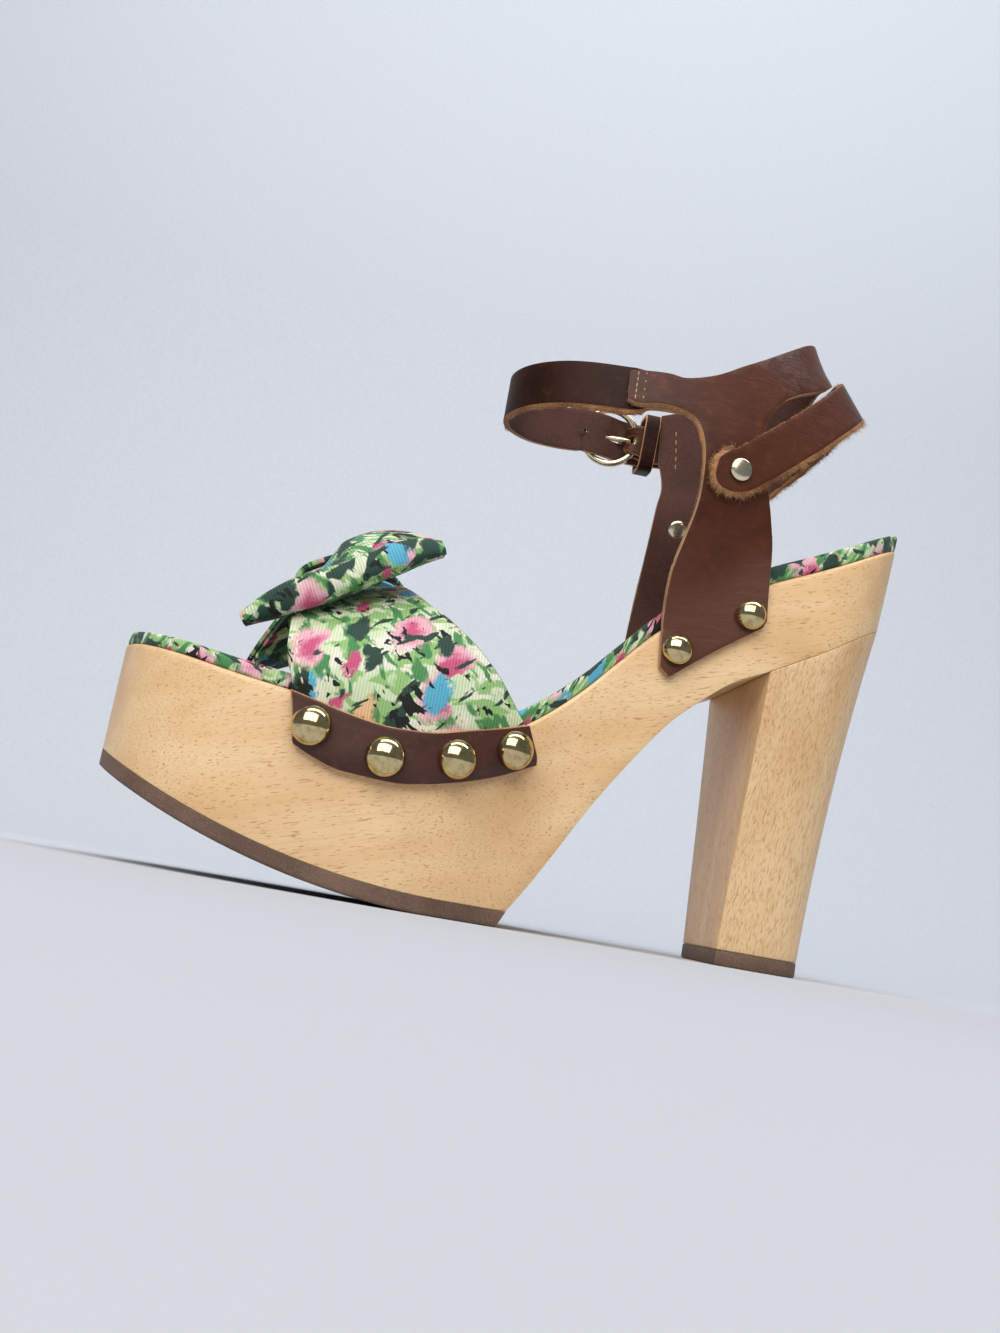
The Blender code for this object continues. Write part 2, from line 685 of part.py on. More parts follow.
def build_buckle():
    place, along, upward, normal = buckle_frame()
    axes = Matrix([list(along), list(upward), list(normal)]).transposed().to_4x4()
    bpy.ops.mesh.primitive_torus_add(major_radius=RING_RADIUS * MM, minor_radius=RING_WIRE * MM,
                                     major_segments=30, minor_segments=6)
    ring = bpy.context.object
    ring.name = "buckle_ring"
    ring.data.materials.append(BRASS)
    ring.data.shade_smooth()
    for other in list(ring.users_collection):
        other.objects.unlink(ring)
    parts.objects.link(ring)
    ring.parent = root
    ring.matrix_local = Matrix.Translation(Vector(place) * MM) @ axes

    def local(s, u, d):
        return place + along * s + upward * u + normal * d

    start = local(RING_RADIUS - RING_WIRE - 0.4, 0, 0.1)
    end = local(-RING_RADIUS - 1.6, 0, RING_WIRE + PRONG_WIRE + 0.45)
    curve = bpy.data.curves.new("buckle_prong", "CURVE")
    curve.dimensions = "3D"
    curve.bevel_depth = PRONG_WIRE * MM
    curve.bevel_resolution = 2
    curve.use_fill_caps = True
    line = curve.splines.new("POLY")
    line.points.add(1)
    line.points[0].co = (*(start * MM), 1)
    line.points[1].co = (*(end * MM), 1)
    curve.materials.append(BRASS)
    prong = bpy.data.objects.new("buckle_prong", curve)
    parts.objects.link(prong)
    prong.parent = root

    # Leather folded round the ring's rear side and laid on the quarter's tab
    bend = RING_WIRE + GAP + 0.8
    shares = (-1, -0.36, 0.36, 1)
    rows = []
    for s in (14.8, 12.4):
        rows.append([local(s, 5.2 * v, -bend) for v in shares])
    for k in range(7):
        a = math.radians(270 - 30 * k)
        row = []
        for v in shares:
            swing = math.radians(30 * v)
            out = RING_RADIUS + bend * math.cos(a)
            row.append(local(out * math.cos(swing), out * math.sin(swing), bend * math.sin(a)))
        rows.append(row)
    for s, d in ((11.4, bend), (13.6, bend - 0.4)):
        rows.append([local(s, 5.2 * v, d) for v in shares])
    z = RING_Z + 0.2
    for s in (16.5, 19.5, 22.5):
        turn = outer_turn(RING_X + s, z)
        rows.append([ankle(turn, z, QUARTER_THICKNESS + GAP + 0.8) + upward * 5.6 * v for v in shares])
    slots = [(i, 1) for i in range(2, 8)]
    sheet("buckle_chape", rows, 1.6, LEATHER, holes=slots)

    # Keeper loop round the chape and the strap
    rows = []
    for k in range(24):
        a = 2 * math.pi * k / 24
        cosine = math.cos(a)
        sine = math.sin(a)
        u = 8.8 * math.copysign(abs(cosine) ** 0.4, cosine)
        d = 1.5 + 5.6 * math.copysign(abs(sine) ** 0.4, sine)
        rows.append([local(s, u, d) for s in (10.2, 12.6, 15.0)])
    sheet("strap_keeper", rows, 1.2, LEATHER, closed=True)


# Ribbon bow

bow_half = smooth(BOW, 1)
bow_rise = smooth(BOW, 2)
bow_lift = smooth(BOW, 3)


def bow_frame():
    tilt = math.radians(BOW_TILT)
    rearward = np.array([math.cos(tilt), 0, math.sin(tilt)])
    normal = np.array([-math.sin(tilt), 0, math.cos(tilt)])
    skin = vamp_arch(BOW_CENTRE_X, 0.5)
    return skin + normal * (VAMP_THICKNESS + GAP + 6.2), rearward, normal


def build_bow():
    centre, rearward, normal = bow_frame()
    # One round of the ribbon: over the top to one loop, back below to the other, and over the top again
    stops = (0, 3.5, 6.5, 9.5, 13, 18, 23.5, 29, 34.5, 39, BOW[-1][0])
    turns = [(y, 1) for y in stops] + [(y, -1) for y in stops[-2::-1]]
    lap = [(y, up) for y, up in turns] + [(-y, up) for y, up in turns[-2:0:-1]]
    rows = []
    for y, up in lap:
        r = abs(y)
        row = []
        for k in range(9):
            v = -1 + k / 4
            wave = math.cos(1.25 * math.pi * (v - 0.25)) + 0.35 * math.cos(3.4 * math.pi * v + 1)
            fold = 1.6 * wave * ease((r - 4) / 14) * (1 - 0.45 * ease((r - 30) / 12))
            rise = bow_rise(r) * (1 - 0.6 * v * v * ease((r - 8) / 14))
            d = bow_lift(r) + up * rise + fold * (0.8 if up > 0 else 0.4)
            side = y * (1 - 0.05 * v ** 4 * ease((r - 15) / 20))
            row.append(centre + np.array([0, side, 0]) + rearward * bow_half(r) * v + normal * d)
        rows.append(row)
    sheet("bow", rows, BOW_THICKNESS, CLOTH, closed=True)
    rows = []
    for k in range(24):
        a = 2 * math.pi * k / 24
        cosine = math.cos(a)
        sine = math.sin(a)
        row = []
        for y, swell in ((-6, -0.3), (-3, 0.2), (0, 0.35), (3, 0.2), (6, -0.3)):
            along = (9.6 + swell) * math.copysign(abs(cosine) ** 0.7, cosine)
            rise = (4.7 + swell) * math.copysign(abs(sine) ** 0.7, sine)
            row.append(centre + np.array([0, y, 0]) + rearward * along + normal * rise)
        rows.append(row)
    sheet("bow_knot", rows, KNOT_THICKNESS, CLOTH, closed=True)


def stand_at_origin():
    # Middle of the box at x = y = 0, floor at z = 0
    bpy.context.view_layer.update()
    graph = bpy.context.evaluated_depsgraph_get()
    points = []
    for obj in parts.objects:
        if obj.type in {"MESH", "CURVE"}:
            shown = obj.evaluated_get(graph)
            mesh = shown.to_mesh()
            points += [shown.matrix_world @ v.co for v in mesh.vertices]
            shown.to_mesh_clear()
    box = np.array(points)
    middle = 0.5 * (box.min(axis=0) + box.max(axis=0))
    root.location = (-middle[0], -middle[1], -box.min(axis=0)[2])
    size = box.max(axis=0) - box.min(axis=0)
    print("size in mm", np.round(size / MM, 2), "middle", np.round(middle / MM, 2))


build_outsole()
build_wood_sole()
build_heel()
build_insole()
build_vamp()
build_strips()
build_studs()
build_quarter()
build_back_strap()
build_ankle_strap()
build_buckle()
build_bow()
stand_at_origin()
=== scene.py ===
# Platform sandal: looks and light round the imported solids.
# Shapes are worked out in millimetres from the toe and become metres in the row frame in toWorld().
import math

import bmesh
import bpy
import numpy as np
from mathutils import Matrix, Vector
from mathutils.bvhtree import BVHTree


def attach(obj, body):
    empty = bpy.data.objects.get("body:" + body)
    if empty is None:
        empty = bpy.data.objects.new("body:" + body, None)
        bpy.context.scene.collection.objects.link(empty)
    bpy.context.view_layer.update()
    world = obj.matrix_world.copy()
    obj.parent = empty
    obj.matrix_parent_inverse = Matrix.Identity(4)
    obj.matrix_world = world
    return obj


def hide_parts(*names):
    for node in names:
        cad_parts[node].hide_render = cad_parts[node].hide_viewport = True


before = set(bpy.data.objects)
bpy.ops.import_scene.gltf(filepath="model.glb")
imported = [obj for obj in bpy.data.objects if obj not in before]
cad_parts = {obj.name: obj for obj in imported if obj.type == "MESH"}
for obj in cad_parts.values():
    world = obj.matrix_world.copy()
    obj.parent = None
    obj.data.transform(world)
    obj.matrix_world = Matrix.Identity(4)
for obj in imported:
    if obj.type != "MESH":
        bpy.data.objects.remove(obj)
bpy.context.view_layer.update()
boxMiddle = np.array([110.22, -0.4, 0.0])  # middle of the solids in toe millimetres
inner = -1
outer = 1
print("frame loaded:", len(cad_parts), "solids")


# Plain helpers


def toWorld(points):
    return (np.asarray(points, float) - boxMiddle) * 0.001


def unit(v):
    return v / np.linalg.norm(v)


def ease(t):
    t = min(max(t, 0.0), 1.0)
    return t * t * (3 - 2 * t)


def squarish(value, power):
    # Power that keeps the sign: turns a circle towards a rounded square
    return math.copysign(abs(value) ** power, value)


def runOf(points):
    # Length along a line up to each of its points
    return np.concatenate([[0], np.cumsum([math.dist(a, b) for a, b in zip(points, points[1:])])])


def farSide(points):
    # The same turns and heights on the outer side of the ankle
    return [np.array([180 - p[0], p[1]]) for p in points]


def smoothTable(rows, column=1):
    # Cubic through the rows of a table that never overshoots them
    xs = np.array([row[0] for row in rows], float)
    ys = np.array([row[column] for row in rows], float)
    step = np.diff(xs)
    slope = np.diff(ys) / step
    tangent = np.zeros(len(xs))
    tangent[0] = slope[0]
    tangent[-1] = slope[-1]
    for i in range(1, len(xs) - 1):
        if slope[i - 1] * slope[i] > 0:
            before = 2 * step[i] + step[i - 1]
            after = step[i] + 2 * step[i - 1]
            tangent[i] = (before + after) / (before / slope[i - 1] + after / slope[i])

    def value(x):
        x = min(max(x, xs[0]), xs[-1])
        i = min(max(int(np.searchsorted(xs, x)) - 1, 0), len(step) - 1)
        t = (x - xs[i]) / step[i]
        start = (1 + 2 * t) * (1 - t) ** 2 * ys[i] + t * (1 - t) ** 2 * step[i] * tangent[i]
        end = t * t * (3 - 2 * t) * ys[i + 1] + t * t * (t - 1) * step[i] * tangent[i + 1]
        return float(start + end)

    return value


def through(points, count):
    # Smooth line through points, count steps between each two
    pts = [np.array(p, float) for p in points]
    pts = [2 * pts[0] - pts[1]] + pts + [2 * pts[-1] - pts[-2]]
    line = []
    for i in range(1, len(pts) - 2):
        a, b, c, d = pts[i - 1:i + 3]
        for t in (k / count for k in range(count)):
            line.append(0.5 * (2 * b + (c - a) * t + (2 * a - 5 * b + 4 * c - d) * t * t
                               + (3 * b - a - 3 * c + d) * t ** 3))
    return line + [pts[-2]]


# Materials


def hexLinear(code):
    parts = [int(code[i:i + 2], 16) / 255 for i in (0, 2, 4)]
    return tuple(c / 12.92 if c <= 0.04045 else ((c + 0.055) / 1.055) ** 2.4 for c in parts) + (1.0,)


def addNode(tree, kind, settings=None, inputs=None):
    # Adds a node, sets its fields, and links or sets its inputs
    node = tree.nodes.new(kind)
    for name, value in (settings or {}).items():
        setattr(node, name, value)
    for key, value in (inputs or {}).items():
        if isinstance(value, bpy.types.NodeSocket):
            tree.links.new(value, node.inputs[key])
        else:
            node.inputs[key].default_value = value
    return node


def maths(tree, operation, *values):
    return addNode(tree, "ShaderNodeMath", {"operation": operation}, dict(enumerate(values))).outputs[0]


def ranged(tree, value, low, high, toLow, toHigh, kind="LINEAR"):
    return addNode(tree, "ShaderNodeMapRange", {"interpolation_type": kind},
                   {"Value": value, "From Min": low, "From Max": high, "To Min": toLow, "To Max": toHigh}).outputs[0]


def noiseOf(tree, vector, detail, roughness=0.5, bend=0.0, out=0):
    return addNode(tree, "ShaderNodeTexNoise", inputs={"Vector": vector, "Scale": 1.0, "Detail": detail,
                                                      "Roughness": roughness, "Distortion": bend}).outputs[out]


def inMillimetres(tree, stretch=(1, 1, 1), turn=(0, 0, 0), uvName=None):
    # Coordinates in mm times a stretch, from the object or from its own UV map (already in mm)
    if uvName:
        start = addNode(tree, "ShaderNodeUVMap", {"uv_map": uvName}).outputs["UV"]
        size = stretch
    else:
        start = addNode(tree, "ShaderNodeTexCoord").outputs["Object"]
        size = tuple(1000 * s for s in stretch)
    turned = addNode(tree, "ShaderNodeMapping", inputs={"Vector": start, "Rotation": turn}).outputs[0]
    return addNode(tree, "ShaderNodeMapping", inputs={"Vector": turned, "Scale": size}).outputs[0]


def newMaterial(name, roughness, metallic=0.0, coat=0.0, coatRoughness=0.2, specular=0.5, sheen=0.0):
    mat = bpy.data.materials.new(name)
    mat.use_nodes = True
    shader = mat.node_tree.nodes["Principled BSDF"]
    constants = {"Roughness": roughness, "Metallic": metallic, "Coat Weight": coat, "Coat Roughness": coatRoughness,
                 "Specular IOR Level": specular, "Sheen Weight": sheen}
    for key, value in constants.items():
        shader.inputs[key].default_value = value
    return mat, mat.node_tree, shader


def paintLayers(tree, ground, layers):
    # Lays colours over a ground, each where its pattern rises from low to high, at a strength
    colour = hexLinear(ground)
    for tone, pattern, low, high, strength in layers:
        share = ranged(tree, pattern, low, high, 0.0, strength, "SMOOTHSTEP")
        colour = addNode(tree, "ShaderNodeMix", {"data_type": "RGBA"},
                         {0: share, 6: colour, 7: hexLinear(tone)}).outputs[2]
    return colour


def finishMaterial(tree, shader, colour, height, strength, depth):
    # Colour and relief, the relief's depth in metres
    tree.links.new(colour, shader.inputs["Base Color"])
    bump = addNode(tree, "ShaderNodeBump", inputs={"Strength": strength, "Distance": depth, "Height": height})
    tree.links.new(bump.outputs[0], shader.inputs["Normal"])


woodLook = {
    "light": "ECCC9E", "mid": "E3BD8C", "dark": "D3A673", "pore": "A66E3E",
    # features per mm along and across the grain, detail, distortion
    "patterns": {"bands": (0.004, 1 / 11.0, 3.0, 0.5), "fibres": (0.05, 1 / 0.5, 2.0, 0.0),
                 "pores": (1 / 2.6, 1 / 0.34, 1.0, 0.0), "cloud": (0.018, 0.03, 2.0, 0.0)},
}


def makeWood(name, degrees, poreLow, poreHigh, poreShare, fibreShare):
    # Rubberwood, sanded and lacquered: pale honey bands, short dark pores along the grain, satin shine
    look = woodLook
    mat, tree, shader = newMaterial(name, 0.42, coat=0.12, coatRoughness=0.3, specular=0.4)
    seen = {}
    for key, (along, across, detail, bend) in look["patterns"].items():
        place = inMillimetres(tree, (along, across, across), (0, math.radians(degrees), 0))
        seen[key] = noiseOf(tree, place, detail, bend=bend)
    colour = paintLayers(tree, look["light"], [
        (look["mid"], seen["bands"], 0.32, 0.66, 1.0), (look["dark"], seen["cloud"], 0.5, 0.78, 1.0),
        (look["dark"], seen["fibres"], 0.45, 0.75, fibreShare),
        (look["pore"], seen["pores"], poreLow, poreHigh, poreShare)])
    dent = ranged(tree, seen["pores"], poreLow, poreHigh, 1.0, 0.0)
    finishMaterial(tree, shader, colour, maths(tree, "ADD", seen["fibres"], dent), 0.25, 0.0001)
    return mat


leatherLook = {
    "flesh": "62423A", "fleshDark": "50352D", "raw": "CFA173", "rawDark": "8F5F3E", "grainMm": 0.5,
    # the foot of the leg is paler: heights in mm where that starts and is full, how ragged its edge is, its share
    "footTop": 134.0, "footFull": 106.0, "footRagged": 26.0, "footShare": 0.75,
    # features per mm in x, y and z, detail, distortion
    "patterns": {"cloud": ((0.045,) * 3, 4.0, 0.0), "mottle": ((0.32,) * 3, 3.0, 0.0),
                 "folds": ((0.1, 0.1, 0.4), 5.0, 0.8)},
}


def makeLeather(name, tones, roughness, coat, crease, footTone=None, specular=0.26):
    # Vegetable-tanned cowhide, waxed: mottled brown, fine pores, soft creases, semi-gloss
    look = leatherLook
    mat, tree, shader = newMaterial(name, roughness, coat=coat, coatRoughness=0.28, specular=specular)
    seen = {}
    for key, (stretch, detail, bend) in look["patterns"].items():
        seen[key] = noiseOf(tree, inMillimetres(tree, stretch), detail, 0.6, bend)
    pebble = addNode(tree, "ShaderNodeTexVoronoi", {"feature": "DISTANCE_TO_EDGE"},
                     {"Vector": inMillimetres(tree, (1 / look["grainMm"],) * 3), "Scale": 1.0}).outputs[0]
    layers = [(tones[0], seen["cloud"], 0.42, 0.72, 1.0), (tones[2], seen["mottle"], 0.48, 0.85, 1.0)]
    if footTone:
        level = addNode(tree, "ShaderNodeSeparateXYZ", inputs={0: inMillimetres(tree)}).outputs[2]
        level = maths(tree, "MULTIPLY_ADD", seen["cloud"], look["footRagged"], level)
        layers.append((footTone, level, look["footTop"], look["footFull"], look["footShare"]))
    pores = ranged(tree, pebble, 0.0, 0.25, 0.0, 0.035)
    height = maths(tree, "MULTIPLY_ADD", seen["folds"], crease, pores)
    finishMaterial(tree, shader, paintLayers(tree, tones[1], layers), height, 0.5, 0.0005)
    return mat


def makeRough(name, dark, light, roughness, sizeMm, depth, sheen=0.0):
    # Fibrous or granular matt surface: suede side, raw cut edge, crepe rubber, cotton thread
    mat, tree, shader = newMaterial(name, roughness, specular=0.3, sheen=sheen)
    grit = noiseOf(tree, inMillimetres(tree, (1 / sizeMm,) * 3), 4.0, 0.65)
    patch = noiseOf(tree, inMillimetres(tree, (0.06,) * 3), 4.0)
    colour = paintLayers(tree, dark, [(light, maths(tree, "ADD", grit, patch), 0.75, 1.25, 1.0)])
    finishMaterial(tree, shader, colour, grit, 0.4, depth)
    return mat


def makeMetal(name, bright, dull, roughness, scratchMm):
    # Plated brass, polished: mirror with a faint haze of fine scratches
    mat, tree, shader = newMaterial(name, roughness, metallic=1.0)
    fine = 1 / scratchMm
    haze = noiseOf(tree, inMillimetres(tree, (fine, fine * 0.2, fine)), 3.0)
    tree.links.new(paintLayers(tree, bright, [(dull, haze, 0.4, 0.75, 1.0)]), shader.inputs["Base Color"])
    tree.links.new(ranged(tree, haze, 0.0, 1.0, roughness * 0.7, roughness * 1.5), shader.inputs["Roughness"])
    return mat


clothLook = {
    "ground": "E7E6D3", "wash": "C9DDB2", "leafLight": "93BE78", "leafMid": "4C8B53", "leafDark": "274438",
    "dab": "C8557C", "dabPale": "EDB3C1", "sky": "58AECB", "stroke": "121516", "peach": "E3BC90",
    "ribMm": 0.8,  # the real rib is about 0.6 mm, drawn coarser so that it shows
    "pull": (7.0, 7.0, 0.0),  # how far noise pulls the dabs out of their round outline, in mm
    # tone, spacing in mm, stretch, turn, share of cells left bare, reach of the dab, soft edge
    "dabs": [("dabPale", 11.5, 0.8, 0.3, 0.52, 0.42, 0.12), ("dab", 11.5, 0.8, 0.3, 0.52, 0.24, 0.12),
             ("dab", 6.0, 0.7, 1.2, 0.86, 0.3, 0.08), ("sky", 9.5, 0.7, -0.4, 0.86, 0.36, 0.06),
             ("peach", 9.0, 0.6, 0.8, 0.86, 0.3, 0.08), ("leafDark", 7.0, 0.62, -0.7, None, 0.36, 0.06)],
    # features per mm along and across the foot, turn, detail, distortion
    "blots": {"wash": (0.08, 0.1, 0.5, 2.0, 0.5), "light": (0.12, 0.2, 0.4, 2.0, 0.8),
              "mid": (0.12, 0.3, 1.0, 2.0, 0.6), "dark": (0.12, 0.22, -0.5, 2.0, 0.5),
              "stroke": (0.2, 0.5, 0.9, 2.0, 0.4), "mask": (0.06, 0.07, 0.2, 1.0, 0.0),
              "speck": (0.9, 0.7, 0.0, 2.0, 0.0)},
}


def makeCloth(name, darker, darkBare):
    # Ribbed cotton twill, printed with loose brush dabs: matt, fine raised ribs across the foot
    look = clothLook
    mat, tree, shader = newMaterial(name, 0.7, specular=0.3, sheen=0.08)

    def onCloth(along, across, turn=0.0):
        return inMillimetres(tree, (along, across, 1), (0, 0, turn), "cloth")

    stray = noiseOf(tree, onCloth(0.22, 0.22), 3.0, 0.6, out="Color")
    pulled = addNode(tree, "ShaderNodeVectorMath", {"operation": "MULTIPLY_ADD"},
                     {0: stray, 1: look["pull"], 2: onCloth(1, 1)}).outputs[0]
    blots = {}
    for key, (along, across, turn, detail, bend) in look["blots"].items():
        blots[key] = noiseOf(tree, onCloth(along, across, turn), detail, 0.55, bend)
    layers = [(look["wash"], blots["wash"], 0.4, 0.58, 0.9), (look["leafLight"], blots["light"], 0.48, 0.55, 1.0),
              (look["leafMid"], blots["mid"], 0.53 - darker, 0.6 - darker, 1.0)]
    for tone, spacing, squeeze, turn, bare, reach, soft in look["dabs"]:
        turned = addNode(tree, "ShaderNodeMapping", inputs={"Vector": pulled, "Rotation": (0, 0, turn),
                                                           "Scale": (1 / spacing, squeeze / spacing, 1)}).outputs[0]
        cell = addNode(tree, "ShaderNodeTexVoronoi", {"voronoi_dimensions": "2D"}, {"Vector": turned, "Scale": 1.0})
        picked = addNode(tree, "ShaderNodeSeparateColor", inputs={0: cell.outputs["Color"]}).outputs[0]
        missed = maths(tree, "LESS_THAN", picked, darkBare if bare is None else bare)
        spread = maths(tree, "MULTIPLY_ADD", blots["speck"], 0.16, cell.outputs["Distance"])
        layers.append((look[tone], maths(tree, "ADD", spread, missed), reach + 0.08 + soft, reach + 0.08 - soft, 1.0))
    ink = maths(tree, "MULTIPLY", blots["stroke"], blots["mask"])
    layers += [(look["leafDark"], blots["dark"], 0.6 - darker, 0.64 - darker, 1.0),
               (look["stroke"], ink, 0.345, 0.36, 1.0)]
    bandStep = 2 * math.pi / 20 / look["ribMm"]  # a wave band repeats every 2 pi / 20 units
    ribs = addNode(tree, "ShaderNodeTexWave", {"bands_direction": "X"},
                   {"Vector": onCloth(bandStep, bandStep), "Scale": 1.0, "Distortion": 0.3,
                    "Detail": 1.0}).outputs["Fac"]
    # the colour darkens where the rib's height is low: painted shade in the grooves between the ribs
    shade = ranged(tree, ribs, 0.0, 1.0, 0.82, 1.04)
    colour = addNode(tree, "ShaderNodeVectorMath", {"operation": "SCALE"},
                     {0: paintLayers(tree, look["ground"], layers), "Scale": shade}).outputs[0]
    finishMaterial(tree, shader, colour, ribs, 0.5, 0.0002)
    return mat


soleWood = makeWood("rubberwoodSole", 18, 0.61, 0.7, 0.6, 0.35)
heelWood = makeWood("rubberwoodHeel", 84, 0.53, 0.69, 0.5, 0.75)
hide = makeLeather("waxedCowhide", ("3A1A0A", "4E2614", "61301B"), 0.42, 0.02, 0.7, "5B382A", 0.24)
hideDark = makeLeather("waxedCowhideDark", ("230F08", "33180F", "402116"), 0.5, 0.0, 0.25, specular=0.12)
hideStrip = makeLeather("waxedCowhideStrip", ("38201A", "4A2B23", "57362D"), 0.44, 0.04, 0.3, specular=0.3)
flesh = makeRough("fleshSide", leatherLook["fleshDark"], leatherLook["flesh"], 0.8, 0.7, 0.0003)
rawEdge = makeRough("rawCutEdge", leatherLook["rawDark"], leatherLook["raw"], 0.85, 0.35, 0.0002, 0.1)
matted = makeRough("mattedFibres", "6C4229", "BC8A5B", 0.9, 0.4, 0.0005, 0.15)
lining = makeRough("vampLining", "5A4038", "725249", 0.7, 0.8, 0.0002)
sock = makeLeather("sockLeather", ("4B302B", "6A4740", "7A564D"), 0.5, 0.05, 0.2)
cloth = makeCloth("printedTwill", 0.0, 0.8)
bowCloth = makeCloth("printedTwillBow", 0.05, 0.5)
rubberSide = makeRough("crepeRubberSide", "5F4A3F", "7A6253", 0.62, 0.5, 0.00015)
rubberTread = makeRough("crepeRubberTread", "3E3532", "564A44", 0.7, 0.4, 0.0003)
brass = makeMetal("polishedBrass", "D2C090", "B29D6B", 0.1, 1.4)
paleGold = makeMetal("paleGoldPlate", "EADFC4", "D5C49C", 0.2, 0.8)
thread = makeRough("cottonThread", "CDBE9E", "EFE6CF", 0.8, 0.3, 0.0001)
tanThread = makeRough("tanThread", "9C7A5C", "C4A17E", 0.8, 0.3, 0.0001)
# Near black for the vamp's rear cut edge: painted shade on the shaded side of its folded edge
rearEdgeShade = makeRough("paintedRearEdgeShade", "15130F", "2A2621", 0.6, 0.5, 0.0001)
print("materials made")


# Mesh makers


def newObject(name, data):
    obj = bpy.data.objects.new(name, data)
    bpy.context.scene.collection.objects.link(obj)
    return obj


def smooth(mesh):
    mesh.shade_smooth()
    mesh.set_sharp_from_angle(angle=math.radians(40))


def newPiece(name, verts, faces, mats, faceMats=None, corners=None):
    # Mesh object at the origin from points in toe millimetres; corners are UV pairs in mm, one for each face corner
    mesh = bpy.data.meshes.new(name)
    mesh.from_pydata(toWorld(verts).tolist(), [], faces)
    for mat in mats:
        mesh.materials.append(mat)
    if faceMats:
        mesh.polygons.foreach_set("material_index", faceMats)
    if corners:
        mesh.uv_layers.new(name="cloth").data.foreach_set("uv", np.asarray(corners, float).ravel())
    smooth(mesh)
    return newObject(name, mesh)


def settle(obj):
    # Modifiers become a plain mesh
    bpy.context.view_layer.update()
    mesh = bpy.data.meshes.new_from_object(obj.evaluated_get(bpy.context.evaluated_depsgraph_get()))
    obj.modifiers.clear()
    obj.data = mesh
    smooth(mesh)
    return obj


def roundEdges(obj, width, segments, angle, material=-1):
    rounding = obj.modifiers.new("edge", "BEVEL")
    rounding.width = width * 0.001
    rounding.segments = segments
    rounding.material = material
    rounding.angle_limit = math.radians(angle)


def rework(mesh, work):
    made = bmesh.new()
    made.from_mesh(mesh)
    work(made)
    made.to_mesh(mesh)
    made.free()


def loftPiece(name, rings, mats, pick=None, uv=None, edge=0.0):
    # Closed solid through rings of equal count; pick(ring, step) gives a face's material
    count = len(rings[0])
    verts = [p for ring in rings for p in ring]
    faces = []
    faceMats = []
    corners = []
    for i in range(len(rings) - 1):
        for k in range(count):
            n = (k + 1) % count
            faces.append((i * count + k, (i + 1) * count + k, (i + 1) * count + n, i * count + n))
            faceMats.append(pick(i, k) if pick else 0)
            if uv:
                corners += [uv(i, k, k), uv(i + 1, k, k), uv(i + 1, k + 1, k), uv(i, k + 1, k)]
    faces += [tuple(range(count)), tuple(range(len(verts) - 1, len(verts) - count - 1, -1))]
    faceMats += [0, 0]
    if uv:
        corners += [uv(0, k, -1) for k in range(count)]
        corners += [uv(len(rings) - 1, count - 1 - k, -1) for k in range(count)]
    obj = newPiece(name, verts, faces, mats, faceMats, corners)
    rework(obj.data, lambda made: bmesh.ops.recalc_face_normals(made, faces=made.faces))
    if edge:
        roundEdges(obj, edge, 3, 45)
        settle(obj)
    return obj


def gridPiece(name, rows, mats, closed=False, uv=None, holes=()):
    # Sheet over rows of points; uv has one row more than the points where the sheet closes on itself
    rows = np.asarray(rows, float)
    count = rows.shape[1]
    faces = []
    corners = []
    for i in range(len(rows) if closed else len(rows) - 1):
        n = (i + 1) % len(rows)
        for j in range(count - 1):
            if (i, j) in holes:
                continue
            faces.append((i * count + j, n * count + j, n * count + j + 1, i * count + j + 1))
            if uv:
                corners += [uv[i][j], uv[i + 1][j], uv[i + 1][j + 1], uv[i][j + 1]]
    obj = newPiece(name, rows.reshape(-1, 3), faces, mats, None, corners)
    if holes:
        rework(obj.data, lambda made: bmesh.ops.delete(
            made, geom=[v for v in made.verts if not v.link_faces], context="VERTS"))
    return obj


def addWall(obj, thick, offset=1.0, edge=0.25, levels=0):
    # Gives a sheet its thickness and rounds its cut edges; materials run outside, inside, edge
    if levels:
        finer = obj.modifiers.new("finer", "SUBSURF")
        finer.levels = levels
        finer.render_levels = levels
    wall = obj.modifiers.new("wall", "SOLIDIFY")
    wall.thickness = thick * 0.001
    wall.offset = offset
    wall.use_quality_normals = True
    wall.material_offset = 1
    wall.material_offset_rim = 2
    roundEdges(obj, edge, 2, 55, 2)
    return settle(obj)


def turnedPiece(name, profile, place, axis, mats, count):
    # Profile of (radius, height) turned about an axis; radius 0 closes a pole
    aim = Vector((0, 0, 1)).rotation_difference(Vector(axis)).to_matrix()
    verts = []
    rows = []
    for radius, height in profile:
        steps = 1 if radius == 0 else count
        rows.append(list(range(len(verts), len(verts) + steps)))
        for k in range(steps):
            a = 2 * math.pi * k / count
            verts.append(np.array(place) + np.array(aim @ Vector((radius * math.cos(a), radius * math.sin(a), height))))
    faces = []
    for low, high in zip(rows, rows[1:]):
        for k in range(count):
            n = (k + 1) % count
            quad = [low[k % len(low)], low[n % len(low)], high[n % len(high)], high[k % len(high)]]
            faces.append(tuple(dict.fromkeys(quad)))
    return newPiece(name, verts, faces, mats)


def dress(piece, slot, *nodes):
    # Every piece rides on the one body
    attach(piece, "root")
    if nodes:
        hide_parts(*nodes)
    return piece


# Geometry Nodes trees for what repeats


def newTree(name, **sizes):
    # Tree with a geometry socket in and out and one named input for each size
    tree = bpy.data.node_groups.new(name, "GeometryNodeTree")
    keys = {}
    for label, kind in dict(Geometry="Geometry", **sizes).items():
        keys[label] = tree.interface.new_socket(label, in_out="INPUT", socket_type="NodeSocket" + kind).identifier
    tree.interface.new_socket("Geometry", in_out="OUTPUT", socket_type="NodeSocketGeometry")
    return tree, tree.nodes.new("NodeGroupInput").outputs, keys


def namedAim(tree):
    return addNode(tree, "GeometryNodeInputNamedAttribute", {"data_type": "FLOAT_VECTOR"},
                   {"Name": "aim"}).outputs["Attribute"]


